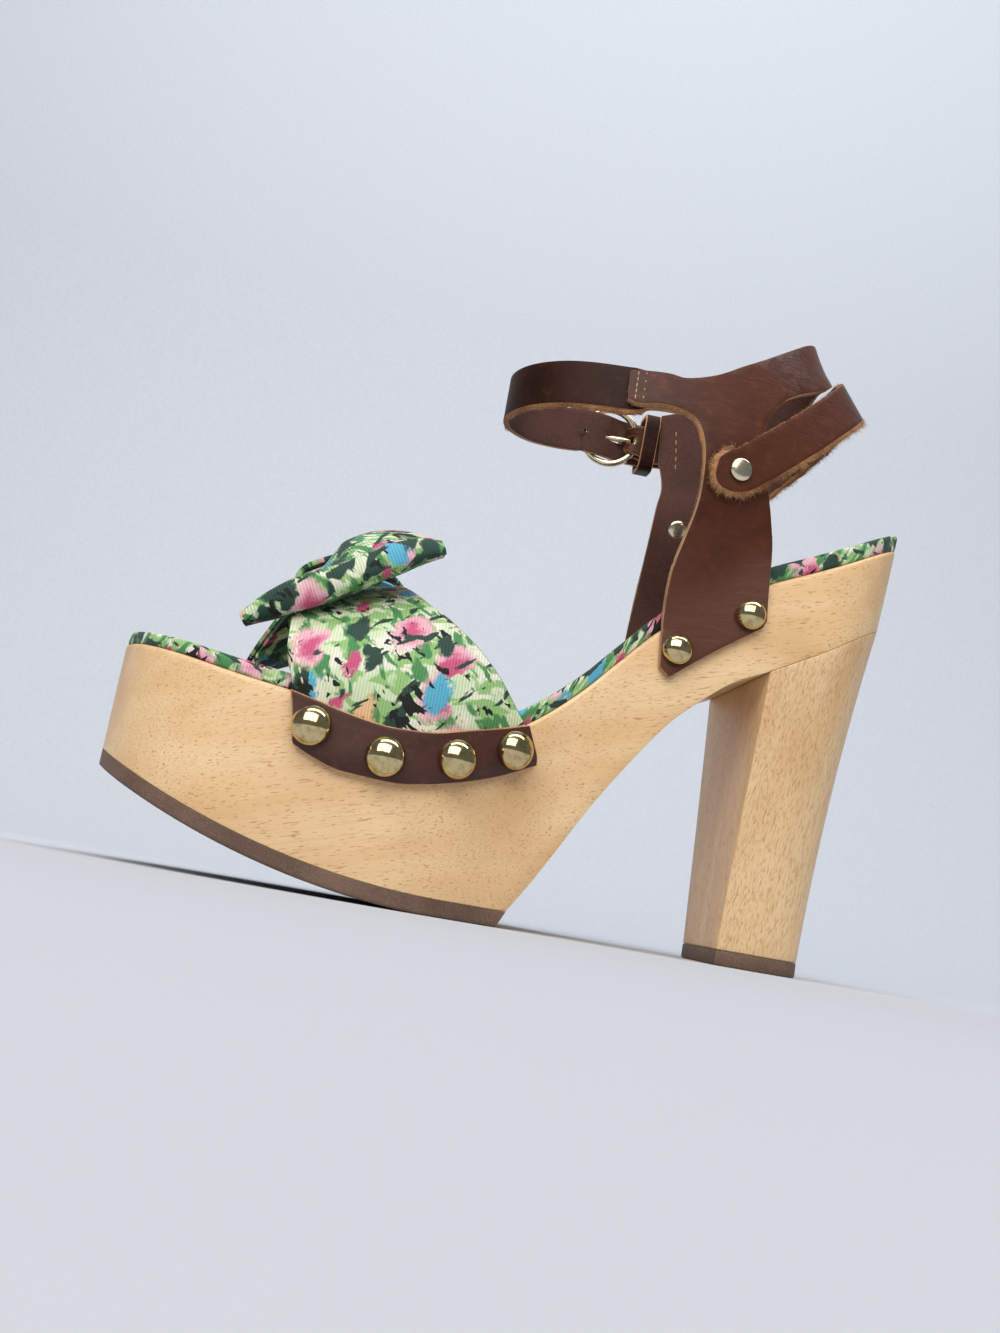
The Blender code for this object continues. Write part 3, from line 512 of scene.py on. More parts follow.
def alongPath(tree, given):
    # Points along the lines at one pitch, and the turn that faces each one outward
    curve = addNode(tree, "GeometryNodeMeshToCurve", inputs={"Mesh": given["Geometry"]})
    points = addNode(tree, "GeometryNodeCurveToPoints", {"mode": "LENGTH"},
                     {"Curve": curve.outputs[0], "Length": given["Pitch"]})
    turn = addNode(tree, "FunctionNodeAxesToRotation", {"primary_axis": "Z", "secondary_axis": "X"},
                   {0: namedAim(tree), 1: points.outputs["Tangent"]})
    return points.outputs["Points"], turn.outputs[0]


def vectorOf(tree, *values):
    return addNode(tree, "ShaderNodeCombineXYZ", inputs=dict(enumerate(values))).outputs[0]


def finishTree(tree, given, points, shape, turn, size=(1, 1, 1)):
    # Copies of a shape on the points, made real, smooth and painted
    copies = addNode(tree, "GeometryNodeInstanceOnPoints",
                     inputs={"Points": points, "Instance": shape, "Rotation": turn, "Scale": size})
    real = addNode(tree, "GeometryNodeRealizeInstances", inputs={"Geometry": copies.outputs[0]})
    even = addNode(tree, "GeometryNodeSetShadeSmooth", inputs={"Geometry": real.outputs[0]})
    painted = addNode(tree, "GeometryNodeSetMaterial",
                      inputs={"Geometry": even.outputs[0], "Material": given["Material"]})
    addNode(tree, "NodeGroupOutput", inputs={0: painted.outputs[0]})


def makeStitchTree():
    # Threads laid end to end along a line, each a flattened bead
    tree, given, keys = newTree("stitchRow", Pitch="Float", Length="Float", Width="Float", Height="Float",
                                Material="Material")
    points, turn = alongPath(tree, given)
    bead = addNode(tree, "GeometryNodeMeshUVSphere", inputs={"Segments": 8, "Rings": 5, "Radius": 0.5})
    size = vectorOf(tree, given["Length"], given["Width"], given["Height"])
    finishTree(tree, given, points, bead.outputs["Mesh"], turn, size)
    return tree, keys


def makeFibreTree():
    # Loose fibres that stand out of a raw edge at random slants, longer in patches, so in ragged tufts
    tree, given, keys = newTree("rawFibres", Pitch="Float", Length="Float", Thickness="Float", Slant="Float",
                                Seed="Int", Material="Material")
    points, turn = alongPath(tree, given)
    less = maths(tree, "MULTIPLY", given["Slant"], -1.0)
    stray = addNode(tree, "FunctionNodeRandomValue", {"data_type": "FLOAT_VECTOR"},
                    {0: vectorOf(tree, less, less, 0.0), 1: vectorOf(tree, given["Slant"], given["Slant"], 6.28),
                     "Seed": given["Seed"]})
    slant = addNode(tree, "FunctionNodeEulerToRotation", inputs={0: stray.outputs[0]})
    bent = addNode(tree, "FunctionNodeRotateRotation", {"rotation_space": "LOCAL"}, {0: turn, 1: slant.outputs[0]})
    reach = addNode(tree, "FunctionNodeRandomValue", {"data_type": "FLOAT"}, {2: 0.25, 3: 1.0, "Seed": given["Seed"]})
    patch = addNode(tree, "ShaderNodeTexNoise", inputs={"Scale": 480.0, "Detail": 2.0}).outputs[0]
    longer = maths(tree, "MULTIPLY", reach.outputs[1], ranged(tree, patch, 0.38, 0.66, 0.25, 1.35))
    hair = addNode(tree, "GeometryNodeMeshCone", inputs={"Vertices": 3, "Radius Top": 0.0, "Depth": given["Length"],
                                                        "Radius Bottom": given["Thickness"]})
    finishTree(tree, given, points, hair.outputs["Mesh"], bent.outputs[0], vectorOf(tree, 1.0, 1.0, longer))
    return tree, keys


def makeStudTree():
    # Domes of one size, each seated on a point along its direction
    tree, given, keys = newTree("domeStuds", Dome="Object", Material="Material")
    turn = addNode(tree, "FunctionNodeAlignRotationToVector", {"axis": "Z"}, {"Vector": namedAim(tree)})
    dome = addNode(tree, "GeometryNodeObjectInfo", inputs={"Object": given["Dome"]})
    finishTree(tree, given, given["Geometry"], dome.outputs["Geometry"], turn.outputs[0])
    return tree, keys


stitchTree = makeStitchTree()
fibreTree = makeFibreTree()
studTree = makeStudTree()


def growAlong(name, lines, treeAndKeys, values):
    # Lines of (point, outward direction) in toe millimetres as loose edges that carry the direction, then the tree
    verts = [place for line in lines for place, aim in line]
    aims = [aim for line in lines for place, aim in line]
    edges = []
    first = 0
    for line in lines:
        edges += [(k, k + 1) for k in range(first, first + len(line) - 1)]
        first += len(line)
    mesh = bpy.data.meshes.new(name)
    mesh.from_pydata(toWorld(verts).tolist(), edges, [])
    mesh.attributes.new("aim", "FLOAT_VECTOR", "POINT").data.foreach_set("vector", np.asarray(aims, float).ravel())
    obj = newObject(name, mesh)
    tree, keys = treeAndKeys
    grow = obj.modifiers.new("grow", "NODES")
    grow.node_group = tree
    for label, value in values.items():
        grow[keys[label]] = value
    return settle(obj)


def addStitches(name, lines, sizes, material, slot):
    # sizes in mm: pitch, length, width, height
    values = dict(zip(("Pitch", "Length", "Width", "Height"), (0.001 * s for s in sizes)), Material=material)
    return dress(growAlong(name, lines, stitchTree, values), slot)


def addFibres(name, lines, pitch, length, thick, slant, seed):
    values = {"Pitch": pitch * 0.001, "Length": length * 0.001, "Thickness": thick * 0.001,
              "Slant": math.radians(slant), "Seed": seed, "Material": rawEdge}
    return dress(growAlong(name, lines, fibreTree, values), "leather")


print("trees made")


# Wooden platform and heel

soleShape = {
    "toe": 3.4, "heel": 217.0, "gap": 0.3, "seam": 0.03, "spring": 25.6, "springStart": 97.0, "outsoleThick": 4.0,
    "outsoleRear": 112.0, "platformRear": 114.1, "seatFront": 176.1, "seatHeight": 80.6, "seatSlope": 0.565,
    "lean": 0.106, "leanLevel": 129, "leanStart": 188, "round": 1.6, "roundLow": 0.25, "stations": 150,
    "outsoleStations": 90, "outsoleRound": (0.7, 0.1), "outsoleSlant": 1.9,
    # x from the toe, inner edge, outer edge
    "plan": [(3.4, -11, 1), (5.2, -20, 10), (7.9, -26.5, 17), (12.4, -33.5, 24.5), (20.6, -40, 33.5), (36, -46.3, 43),
             (50, -48.2, 46.5), (77, -48.8, 48), (95, -44.8, 45.5), (108, -38.6, 41.3), (124, -31.8, 36.3),
             (144, -28.3, 32.5), (160, -27.8, 30.2), (176, -28.6, 29.6), (188, -28.8, 29.4), (198, -27.2, 27.6),
             (206, -23.2, 23.6), (211, -18.2, 18.6), (214, -13.3, 13.7), (216, -7.8, 8.2), (217, -3, 3.5)],
    # x, height of the upper face
    "top": [(3.4, 56.2), (8, 55.4), (20.8, 53.2), (36.3, 50.2), (50, 48.3), (64.9, 46.9), (79.8, 46.2), (94.8, 46.9),
            (107.9, 50.2), (113, 53.7), (124.2, 63.8), (134.4, 75.3), (144.6, 86.4), (156.8, 95.5), (172.6, 105),
            (186.3, 111.6), (197.6, 117.4), (217, 129.3)],
    # x, height of the face under the arch
    "arch": [(114.1, 4.3), (119, 11.6), (123.6, 19.3), (132.6, 35.1), (143.4, 51.5), (151.3, 62.1), (159.6, 70),
             (166.8, 75.8), (176.1, 80.6)],
}
gap = soleShape["gap"]
seam = soleShape["seam"]
footLength = soleShape["heel"] - soleShape["toe"]


def station(x):
    return math.acos(1 - 2 * min(max((x - soleShape["toe"]) / footLength, 0.0), 1.0)) / math.pi


def stations(first, last, count, extra=()):
    # Places along the shoe, closer together at its round ends
    shares = np.linspace(station(first), station(last), count + 1)
    xs = [soleShape["toe"] + footLength * (1 - math.cos(math.pi * s)) / 2 for s in shares]
    return sorted([x for x in xs if all(abs(x - e) > 0.5 for e in extra)] + list(extra))


edgeTables = {side: smoothTable([(station(row[0]), row[column]) for row in soleShape["plan"]])
              for side, column in ((inner, 1), (outer, 2))}
woodTop = smoothTable(soleShape["top"])
archUnder = smoothTable(soleShape["arch"])


def edgeY(side, x):
    return edgeTables[side](station(x))


def onSide(side, x, z, off):
    # Point beside the platform, off mm out from its edge
    slope = edgeY(side, x + 0.5) - edgeY(side, x - 0.5)
    size = math.hypot(slope, 1)
    return np.array([x - side * slope / size * off, edgeY(side, x) + side / size * off, z])


def floorCurve(x):
    start = soleShape["springStart"]
    return soleShape["spring"] * max(start - x, 0) ** 2 / start ** 2


def seat(x):
    return soleShape["seatHeight"] + soleShape["seatSlope"] * (x - soleShape["seatFront"])


def woodUnder(x):
    if x <= soleShape["platformRear"]:
        return floorCurve(x) + soleShape["outsoleThick"] + gap
    return archUnder(x) if x <= soleShape["seatFront"] else seat(x)


def leanX(x, z):
    start = soleShape["leanStart"]
    return x + soleShape["lean"] * (z - soleShape["leanLevel"]) * ease((x - start) / (soleShape["heel"] - start))


def leaned(ring):
    return [(leanX(x, z), y, z) for x, y, z in ring]


def slabRing(x, low, high, roundLow, roundHigh, inset=0.0):
    # Section across the sole with rounded edges, from the inner lower edge round to the inner side
    a = edgeY(inner, x) + inset
    b = edgeY(outer, x) - inset
    roundLow = min(roundLow, 0.2 * (b - a))
    roundHigh = min(roundHigh, 0.2 * (b - a))
    side = high - low - roundLow - roundHigh

    def bend(degrees):
        return 1 - math.sin(math.radians(degrees)), 1 - math.cos(math.radians(degrees))

    ring = [(a + roundLow + (b - a - 2 * roundLow) * k / 8, low) for k in range(9)]
    ring += [(b - roundLow * s, low + roundLow * c) for s, c in map(bend, (30, 60, 90))]
    ring += [(b, low + roundLow + side * k / 6) for k in range(1, 6)]
    ring += [(b - roundHigh * c, high - roundHigh * s) for s, c in map(bend, range(0, 105, 15))]
    ring += [(b - roundHigh - (b - a - 2 * roundHigh) * k / 10, high) for k in range(1, 10)]
    ring += [(a + roundHigh * c, high - roundHigh * s) for s, c in map(bend, range(90, -15, -15))]
    ring += [(a, high - roundHigh - side * k / 6) for k in range(1, 6)]
    ring += [(a + roundLow * s, low + roundLow * c) for s, c in map(bend, (90, 60, 30))]
    return [(x, y, z) for y, z in ring]


# Columns of a slab ring: its lower face, where each rounded upper edge meets the top, the middles of sides and top
ringLower = 8
ringTopOuter = 23
ringTopInner = 33
ringMiddles = {"outer": 16, "top": 28, "inner": 40}


def buildSole():
    shape = soleShape
    xs = stations(shape["toe"], shape["heel"], shape["stations"], (shape["platformRear"], shape["seatFront"]))
    rings = [leaned(slabRing(x, woodUnder(x), woodTop(x), shape["roundLow"], shape["round"])) for x in xs]
    dress(loftPiece("woodSole", rings, [soleWood]), "wood", "wood_sole")

    # Outsole: a darker tread under a paler side
    rings = []
    for x in stations(shape["toe"], shape["outsoleRear"], shape["outsoleStations"]):
        low = floorCurve(x)
        ring = slabRing(x, low, low + shape["outsoleThick"] + gap - seam, *shape["outsoleRound"])
        back = shape["outsoleSlant"] * ease(x - shape["outsoleRear"] + 1)
        rings.append([(p[0] + back * (p[2] - low) / shape["outsoleThick"], p[1], p[2]) for p in ring])
    dress(loftPiece("outsoleRubber", rings, [rubberSide, rubberTread], lambda i, k: 1 if k < ringLower else 0),
          "rubber", "outsole")


heelShape = {"tipThick": 4.2, "tipHalf": 16.8, "tipFront": 175.5, "tipBack": 203.2, "hollow": 1.6, "waist": 0.02,
             "round": 72, "levels": 34, "edge": 0.5, "tipEdge": 0.3,
             # height and scale of the rubber tip's rings
             "tip": [(0, 0.965), (0.2, 0.985), (0.6, 1.0), (2.4, 1.0), (4.0, 1.0), (4.2, 0.992)]}


def heelSection(t):
    # Plan of the heel at a share t of its height, from the tip to the seat
    shape = heelShape
    points = []
    for k in range(shape["round"] + 1):
        u = k / shape["round"]
        share = math.sin(math.pi * u)
        side = inner if u < 0.5 else outer
        lowX = shape["tipFront"] + (shape["tipBack"] - shape["tipFront"]) * share
        lowY = side * shape["tipHalf"] * max(1 - share ** 3, 0) ** (1 / 2.4)
        highX = soleShape["seatFront"] + 0.3 + (soleShape["heel"] - 0.4 - soleShape["seatFront"]) * share
        highY = edgeY(side, highX)
        top = seat(highX) - seam
        highX = leanX(highX, seat(highX))
        bow = 4 * t * (1 - t)
        points.append((lowX + (highX - lowX) * t - shape["hollow"] * bow * share,
                       (lowY + (highY - lowY) * t) * (1 - shape["waist"] * bow), top))
    front = [tuple(np.array(points[-1]) * (1 - k / 8) + np.array(points[0]) * (k / 8)) for k in range(1, 8)]
    return points + front


def buildHeel():
    foot = heelShape["tipThick"] + seam
    rings = []
    for t in np.linspace(0, 1, heelShape["levels"]):
        rings.append([(x, y, foot + (top - foot) * t) for x, y, top in heelSection(t)])
    dress(loftPiece("woodHeel", rings, [heelWood], edge=heelShape["edge"]), "wood", "wood_heel")
    middle = 0.5 * (heelShape["tipFront"] + heelShape["tipBack"])
    rings = []
    for z, scale in heelShape["tip"]:
        rings.append([(middle + (x - middle) * scale, y * scale, z) for x, y, top in heelSection(0)])
    dress(loftPiece("heelTip", rings, [rubberSide], edge=heelShape["tipEdge"]), "rubber", "heel_tip")


insoleShape = {"ends": 1.2, "inset": 0.7, "endRound": 0.5, "stations": 150, "sockFront": 96.0,
               "thick": [(3.4, 3.0), (40, 3.6), (110, 4.6), (150, 5), (217, 5)],
               # where the print's flat pieces for the edges start, in mm across the cloth
               "innerPrint": 70, "outerPrint": 110}
bedThick = smoothTable(insoleShape["thick"])


def buildInsole():
    shape = insoleShape
    xs = stations(soleShape["toe"] + shape["ends"], soleShape["heel"] - shape["ends"], shape["stations"])
    rings = []
    for x in xs:
        low = woodTop(x) + seam
        bend = shape["endRound"] * bedThick(x)
        short = max(bend - min(x - xs[0], xs[-1] - x), 0.0)
        thick = gap + bedThick(x) - bend + math.sqrt(bend ** 2 - short ** 2)
        rings.append(leaned(slabRing(x, low, low + thick, min(0.9, 0.25 * thick), min(1.9, 0.6 * thick),
                                     shape["inset"])))
    # Arc length round each ring, so that the print keeps its size over the edge
    arcs = [runOf(ring + ring[:1]) for ring in rings]
    lengths = {key: runOf([ring[k] for ring in rings]) for key, k in ringMiddles.items()}
    first = min(i for i, x in enumerate(xs) if x > shape["sockFront"])

    def pick(i, k):
        return 1 if i >= first and ringTopOuter - 1 <= k <= ringTopInner else 0

    def spot(i, k, face):
        # Place in the print: along the outline and down the edge, or flat on the top
        if face < 0:
            return (rings[i][k][2], rings[i][k][1])
        if face >= ringTopInner:
            return (lengths["inner"][i], shape["innerPrint"] + arcs[i][k] - arcs[i][ringTopInner])
        if ringLower <= face < ringTopOuter:
            return (lengths["outer"][i], shape["outerPrint"] + arcs[i][ringTopOuter] - arcs[i][k])
        return (lengths["top"][i], rings[i][k % len(rings[i])][1])

    pad = loftPiece("insolePad", rings, [bowCloth, sock], pick, spot)
    dress(pad, "printed_cloth", "insole")


buildSole()
buildHeel()
buildInsole()
print("sole made")


# Cloth vamp, leather strips and studs

vampShape = {
    "thick": 1.0, "edge": 0.25, "roundFront": 1.88, "roundRear": 2.08, "rows": 44, "columns": 120,
    "tuck": (0.36, 0.5, 0.65, 0.8),  # places behind the strip where the cloth's ends lie
    "skip": 0.06, "skipShare": 0.00886,  # part of the half turn left out at each end, and its share of the way across
    "stitch": (2.6, 1.9, 0.5, 0.36), "stitchRow": 2, "stitchEnds": (6, 8),
    # x, height of the arch at its middle
    "apex": [(40, 75.6), (46.6, 78), (60, 83), (72, 87), (85, 90.2), (110, 94.2)],
    # share of the way across, front x, rear x, up to the middle
    "edges": [(0, 50.8, 109.4), (0.03, 49.6, 106.6), (0.08, 48, 102), (0.14, 47.4, 95.2), (0.2, 47, 87.4),
              (0.26, 46.8, 80.4), (0.36, 46.4, 74.2), (0.5, 46, 70.5)],
}
vampApex = smoothTable(vampShape["apex"])
vampEdges = vampShape["edges"] + [(1 - share, front, rear) for share, front, rear in vampShape["edges"][-2::-1]]
vampFront = smoothTable(vampEdges, 1)
vampRear = smoothTable(vampEdges, 2)
stripShape = {
    "thick": 1.8, "edge": 0.45, "rows": 90, "columns": 14, "bedGap": 0.1, "rampEnd": 0.24,
    # bottom x, bottom z, top x, top z
    "rim": [(54.3, 35.2, 51, 47.8), (60, 32.6, 57.5, 46.4), (67.3, 30.6, 64.8, 44.8), (79, 30.2, 76.7, 43.2),
            (87, 31.4, 85, 43.8), (94.6, 33.5, 92.5, 45.8), (105, 37.6, 101.2, 48.6), (114.6, 42.6, 110.2, 51.8)],
}
stripColumns = [smoothTable([(i, row[c]) for i, row in enumerate(stripShape["rim"])]) for c in range(4)]
stripLift = gap + vampShape["thick"] + gap


def vampArch(x, share):
    # Inner face of the vamp above the footbed
    a = edgeY(inner, x) - gap
    b = edgeY(outer, x) + gap
    base = woodTop(x) + 2
    angle = math.pi * share
    power = 2 / (vampShape["roundFront"] + (vampShape["roundRear"] - vampShape["roundFront"]) * ease((x - 46) / 26))
    y = 0.5 * (a + b) - math.sin(angle) - 0.5 * (b - a) * squarish(math.cos(angle), power)
    return np.array([x, y, base + (vampApex(x) - base) * max(math.sin(angle), 0.0) ** power])


def stripPoint(side, share, v, off):
    # Point of the strip: share along it, v from its bottom to its top edge
    lowX, lowZ, highX, highZ = [column(share * (len(stripShape["rim"]) - 1)) for column in stripColumns]
    return onSide(side, lowX + (highX - lowX) * v, lowZ + (highZ - lowZ) * v, off)


def vampRow(f):
    # Points across the vamp at a share f of the way from its front edge to its rear edge
    shape = vampShape
    row = [stripPoint(inner, f, v, gap) for v in shape["tuck"]]
    for k in range(shape["columns"] + 1):
        turn = shape["skip"] + (1 - 2 * shape["skip"]) * k / shape["columns"]
        share = (0.5 - 0.5 * math.cos(math.pi * turn) - shape["skipShare"]) / (1 - 2 * shape["skipShare"])
        share = min(max(share, 0.0), 1.0)
        row.append(vampArch(vampFront(share) + (vampRear(share) - vampFront(share)) * f, share))
    return row + [stripPoint(outer, f, v, gap) for v in shape["tuck"][::-1]]


def skinLine(rows, index, lift):
    # A row of a sheet raised along its outward direction, as a line for stitches
    line = []
    for j in range(1, len(rows[0]) - 1):
        aim = unit(np.cross(rows[index + 1][j] - rows[index - 1][j], rows[index][j + 1] - rows[index][j - 1]))
        line.append((rows[index][j] + aim * lift, aim))
    return line


def buildVamp():
    shape = vampShape
    rows = [vampRow(f) for f in np.linspace(0, 1, shape["rows"] + 1)]
    uv = []
    for row in rows:
        arc = runOf(row)
        uv.append([(p[0], a - arc[-1] / 2) for p, a in zip(row, arc)])
    vamp = gridPiece("vampCloth", rows, [cloth, lining, cloth, rearEdgeShade], uv=uv)
    addWall(vamp, shape["thick"], 1.0, shape["edge"])
    for face in vamp.data.polygons:  # the rear cut edge is painted near black: painted shade along the folded edge
        if face.material_index == 2 and face.normal.x > 0.3:
            face.material_index = 3
    dress(vamp, "printed_cloth", "vamp")
    # Topstitching along both edges
    start, end = shape["stitchEnds"]
    edges = [skinLine(rows, index, shape["thick"] + 0.02)[start:len(rows[0]) - end]
             for index in (shape["stitchRow"], len(rows) - 1 - shape["stitchRow"])]
    addStitches("vampStitches", edges, shape["stitch"], thread, "printed_cloth")


def buildStrips():
    shape = stripShape
    low = gap + shape["bedGap"]
    for side, name, node in ((inner, "stripMedial", "strip_medial"), (outer, "stripLateral", "strip_lateral")):
        rows = []
        for i in range(shape["rows"] + 1):
            row = []
            for v in (k / shape["columns"] for k in range(shape["columns"] + 1)):
                off = low + (stripLift - low) * ease(v / shape["rampEnd"])
                row.append(stripPoint(side, i / shape["rows"], v, off))
            rows.append(row if side == inner else row[::-1])
        strip = gridPiece(name, rows, [hideStrip, flesh, rawEdge])
        dress(addWall(strip, shape["thick"], 1.0, shape["edge"]), "leather", node)


quarterThick = 2.0
studShape = {
    "foot": 0.5, "steps": 36,
    # x and height of each stud, diameter and height of the dome, distance off the wood
    "vamp": ([(57.8, 39.8), (76.5, 35.7), (92.8, 38.7), (106.8, 44.3)], (10.0, 4.3),
             stripLift + stripShape["thick"] + gap + 0.15),
    "quarter": ([(148.9, 81), (168.0, 94.6)], (8.5, 3.7), gap + quarterThick + gap + 0.1),
}


def domeProfile(width, high):
    # Domed cap with a small rolled foot
    radius = width / 2
    profile = [(0, high)]
    for k in range(1, 13):
        a = math.radians(90 - 90 * k / 12)
        profile.append((radius * math.cos(a), studShape["foot"] + (high - studShape["foot"]) * math.sin(a)))
    return profile + [(radius, 0.25), (radius * 0.97, 0.0), (0, 0)]


def buildStuds():
    for label in ("vamp", "quarter"):
        table, size, off = studShape[label]
        lines = []
        nodes = []
        for side, tag in ((inner, "medial"), (outer, "lateral")):
            for i, (x, z) in enumerate(table):
                aim = unit(onSide(side, x, 0, 1) - onSide(side, x, 0, 0))
                lines.append([(onSide(side, x, z, off), aim)])
                nodes.append(f"stud_{label}_{tag}_{i + 1}")
        dome = turnedPiece("domeShape", domeProfile(*size), boxMiddle, (0, 0, 1), [brass], studShape["steps"])
        studs = growAlong("studs" + label.capitalize(), lines, studTree, {"Dome": dome, "Material": brass})
        bpy.data.objects.remove(dome)
        dress(studs, "brass", *nodes)


buildVamp()
buildStrips()
buildStuds()
print("vamp, strips and studs made")


# Leather round the ankle

ankleForm = {
    "middle": 135.0, "front": 93.5,
    # the form runs into the platform's sides below this height, in front of this x, within so many mm of the wood
    "blendTop": 135, "blendBack": 200, "blendHigh": 28,
    # height, back x, half width, middle y
    "rings": [(70, 214, 31, 0), (95, 214, 31, 0), (120, 213, 31, -2.5), (140, 209, 30, -5), (155, 202.5, 28.5, -5),
              (166.5, 194.5, 27, -5), (177, 186, 25, -5), (187, 181, 23, -5), (200, 176, 21, -5)],
}
backX, halfWidth, middleY = [smoothTable(ankleForm["rings"], column) for column in (1, 2, 3)]


def ankleBase(turn, z):
    form = ankleForm
    sine = math.sin(math.radians(turn))
    cosine = math.cos(math.radians(turn))
    reach = backX(z) - form["middle"] if sine >= 0 else form["middle"] - form["front"]
    x = form["middle"] + reach * sine
    y = middleY(z) - halfWidth(z) * cosine
    if abs(cosine) > 0.2 and z < form["blendTop"] and x < form["blendBack"]:
        foot = onSide(inner if cosine > 0 else outer, x, z, gap)[1]
        y = foot + (y - foot) * ease((z - woodTop(x) - 2) / form["blendHigh"])
    return np.array([x, y, z])


def ankleNormal(turn, z):
    along = ankleBase(turn + 0.5, z) - ankleBase(turn - 0.5, z)
    upward = ankleBase(turn, z + 0.5) - ankleBase(turn, z - 0.5)
    return unit(np.cross(along, upward))


def ankle(turn, z, off=0.0):
    return ankleBase(turn, z) + off * ankleNormal(turn, z)


def outerTurn(x, z):
    # Turn at which the outer side of the ankle form has this x
    middle = ankleForm["middle"]
    if x >= middle:
        return 180 - math.degrees(math.asin((x - middle) / (backX(z) - middle)))
    return 180 + math.degrees(math.asin((middle - x) / (middle - ankleForm["front"])))


quarterShape = {
    "thick": quarterThick, "edge": 0.4, "steps": 5,
    "cuts": ((0, -14.2, 197, 3.0), (1, 75, 187, 2.5)),  # axis, first cut, end and step of the grid: turn, then height
    # turn, height, 1 at a corner: down the front edge from the tab, along the foot, up the rear edge to the back
    "inner": [(-15.6, 154.6, 1), (-15.5, 150.3, 0), (-15.2, 146.6, 1), (-10.8, 145.6, 0), (-2, 146.7, 0),
              (4.3, 146.1, 0), (7.5, 143.2, 0), (9.1, 137, 0), (9.5, 129, 0), (9.2, 120.9, 0), (7.6, 111.1, 0),
              (6.4, 102, 0), (6.4, 90.5, 0), (7.3, 75.6, 1), (9.4, 73.2, 1), (17.5, 82.1, 0), (27.9, 91.8, 1),
              (28.6, 94, 1), (28.2, 101, 0), (27.7, 114, 0), (26.2, 122.2, 0), (24.5, 129.4, 0), (23, 137, 0),
              (23, 144, 0), (24.1, 149.2, 0), (26.4, 153.1, 0), (30.9, 157.8, 0), (36.1, 160.9, 0), (42.9, 163.6, 0),
              (60, 169.4, 0), (78, 174.3, 0), (90, 175.6, 1)],
    "outer": [(9.9, 168, 1), (9.9, 160, 0), (9.9, 153, 1), (10.8, 150, 0), (11.4, 144.7, 0), (10.6, 138.3, 0),
              (9.8, 124, 0), (9.2, 109, 0), (8.6, 92, 0), (8.2, 76.6, 1), (10.2, 74.4, 1), (17.8, 82.6, 0),
              (27.9, 91.8, 1), (28.6, 94, 1), (28.2, 101, 0), (27.7, 114, 0), (26.2, 122.2, 0), (24.5, 129.4, 0),
              (23.4, 137, 0), (23.6, 145, 0), (25, 151, 0), (27.8, 155.6, 0), (32.4, 159.6, 0), (38, 162.4, 0),
              (45, 164.8, 0), (60, 169.4, 0), (78, 174.3, 0), (90, 175.6, 1)],
    # turn, height of the upper edge
    "topInner": [(-15.6, 154.6), (-14.4, 155.5), (-1.3, 156.4), (3.6, 156.2), (11.1, 159.3), (20.2, 165),
                 (32.8, 171.5), (44.4, 176.6), (54.6, 180.5), (66, 183.5), (77, 184.6), (90, 184)],
    "topOuter": [(9.9, 168), (12.7, 168.9), (19.8, 171), (32.8, 174.5), (44.4, 177.6), (54.6, 180.8), (66, 183.5),
                 (77, 184.6), (90, 184)],
}


def outlineOf(side):
    # Table of an edge as a line that turns sharply only at its corners
    table = quarterShape[side]
    runs = [[]]
    for turn, z, corner in table:
        runs[-1].append((turn, z))
        if corner and len(runs[-1]) > 1:
            runs.append([(turn, z)])
    line = []
    for run in runs:
        if len(run) > 1:
            line += through(run, quarterShape["steps"])[:-1]
    return line + [np.array(table[-1][:2], float)]


def buildQuarter():
    # Flat pattern in turn and height, cut into a grid, then wrapped round the ankle form
    shape = quarterShape
    edge = outlineOf("inner") + farSide(outlineOf("outer")[::-1][1:])
    edge += farSide(through(shape["topOuter"], shape["steps"])[1:])
    edge += through(shape["topInner"], shape["steps"])[::-1][1:-1]
    made = bmesh.new()
    made.faces.new([made.verts.new((p[0], p[1], 0)) for p in edge])
    for axis, start, stop, step in shape["cuts"]:
        for level in np.arange(start, stop, step):
            aim = (1 - axis, axis, 0)
            bmesh.ops.bisect_plane(made, geom=made.verts[:] + made.edges[:] + made.faces[:], dist=0.01,
                                   plane_co=[level * a for a in aim], plane_no=aim)
    bmesh.ops.remove_doubles(made, verts=made.verts, dist=0.12)
    bmesh.ops.dissolve_degenerate(made, dist=0.02, edges=made.edges)
    bmesh.ops.recalc_face_normals(made, faces=made.faces)
    if sum(face.normal.z * face.calc_area() for face in made.faces) < 0:
        bmesh.ops.reverse_faces(made, faces=made.faces)
    for vert in made.verts:
        vert.co = Vector(toWorld(ankle(vert.co.x, vert.co.y)))
    mesh = bpy.data.meshes.new("quarterLeather")
    made.to_mesh(mesh)
    made.free()
    for mat in (hide, flesh, rawEdge):
        mesh.materials.append(mat)
    quarter = newObject("quarterLeather", mesh)
    dress(addWall(quarter, shape["thick"], 1.0, shape["edge"]), "leather", "quarter")


def ribbonRows(path, offsets, halves, shares):
    # Rows of a strap: path of (turn, height), offset from the form and half width at each point
    mid = [ankle(p[0], p[1], off) for p, off in zip(path, offsets)]
    rows = []
    for i, place in enumerate(mid):
        along = unit(mid[min(i + 1, len(mid) - 1)] - mid[max(i - 1, 0)])
        across = unit(np.cross(ankleNormal(path[i][0], path[i][1]), along))
        rows.append([place + across * halves[i] * s for s in shares])
    return rows


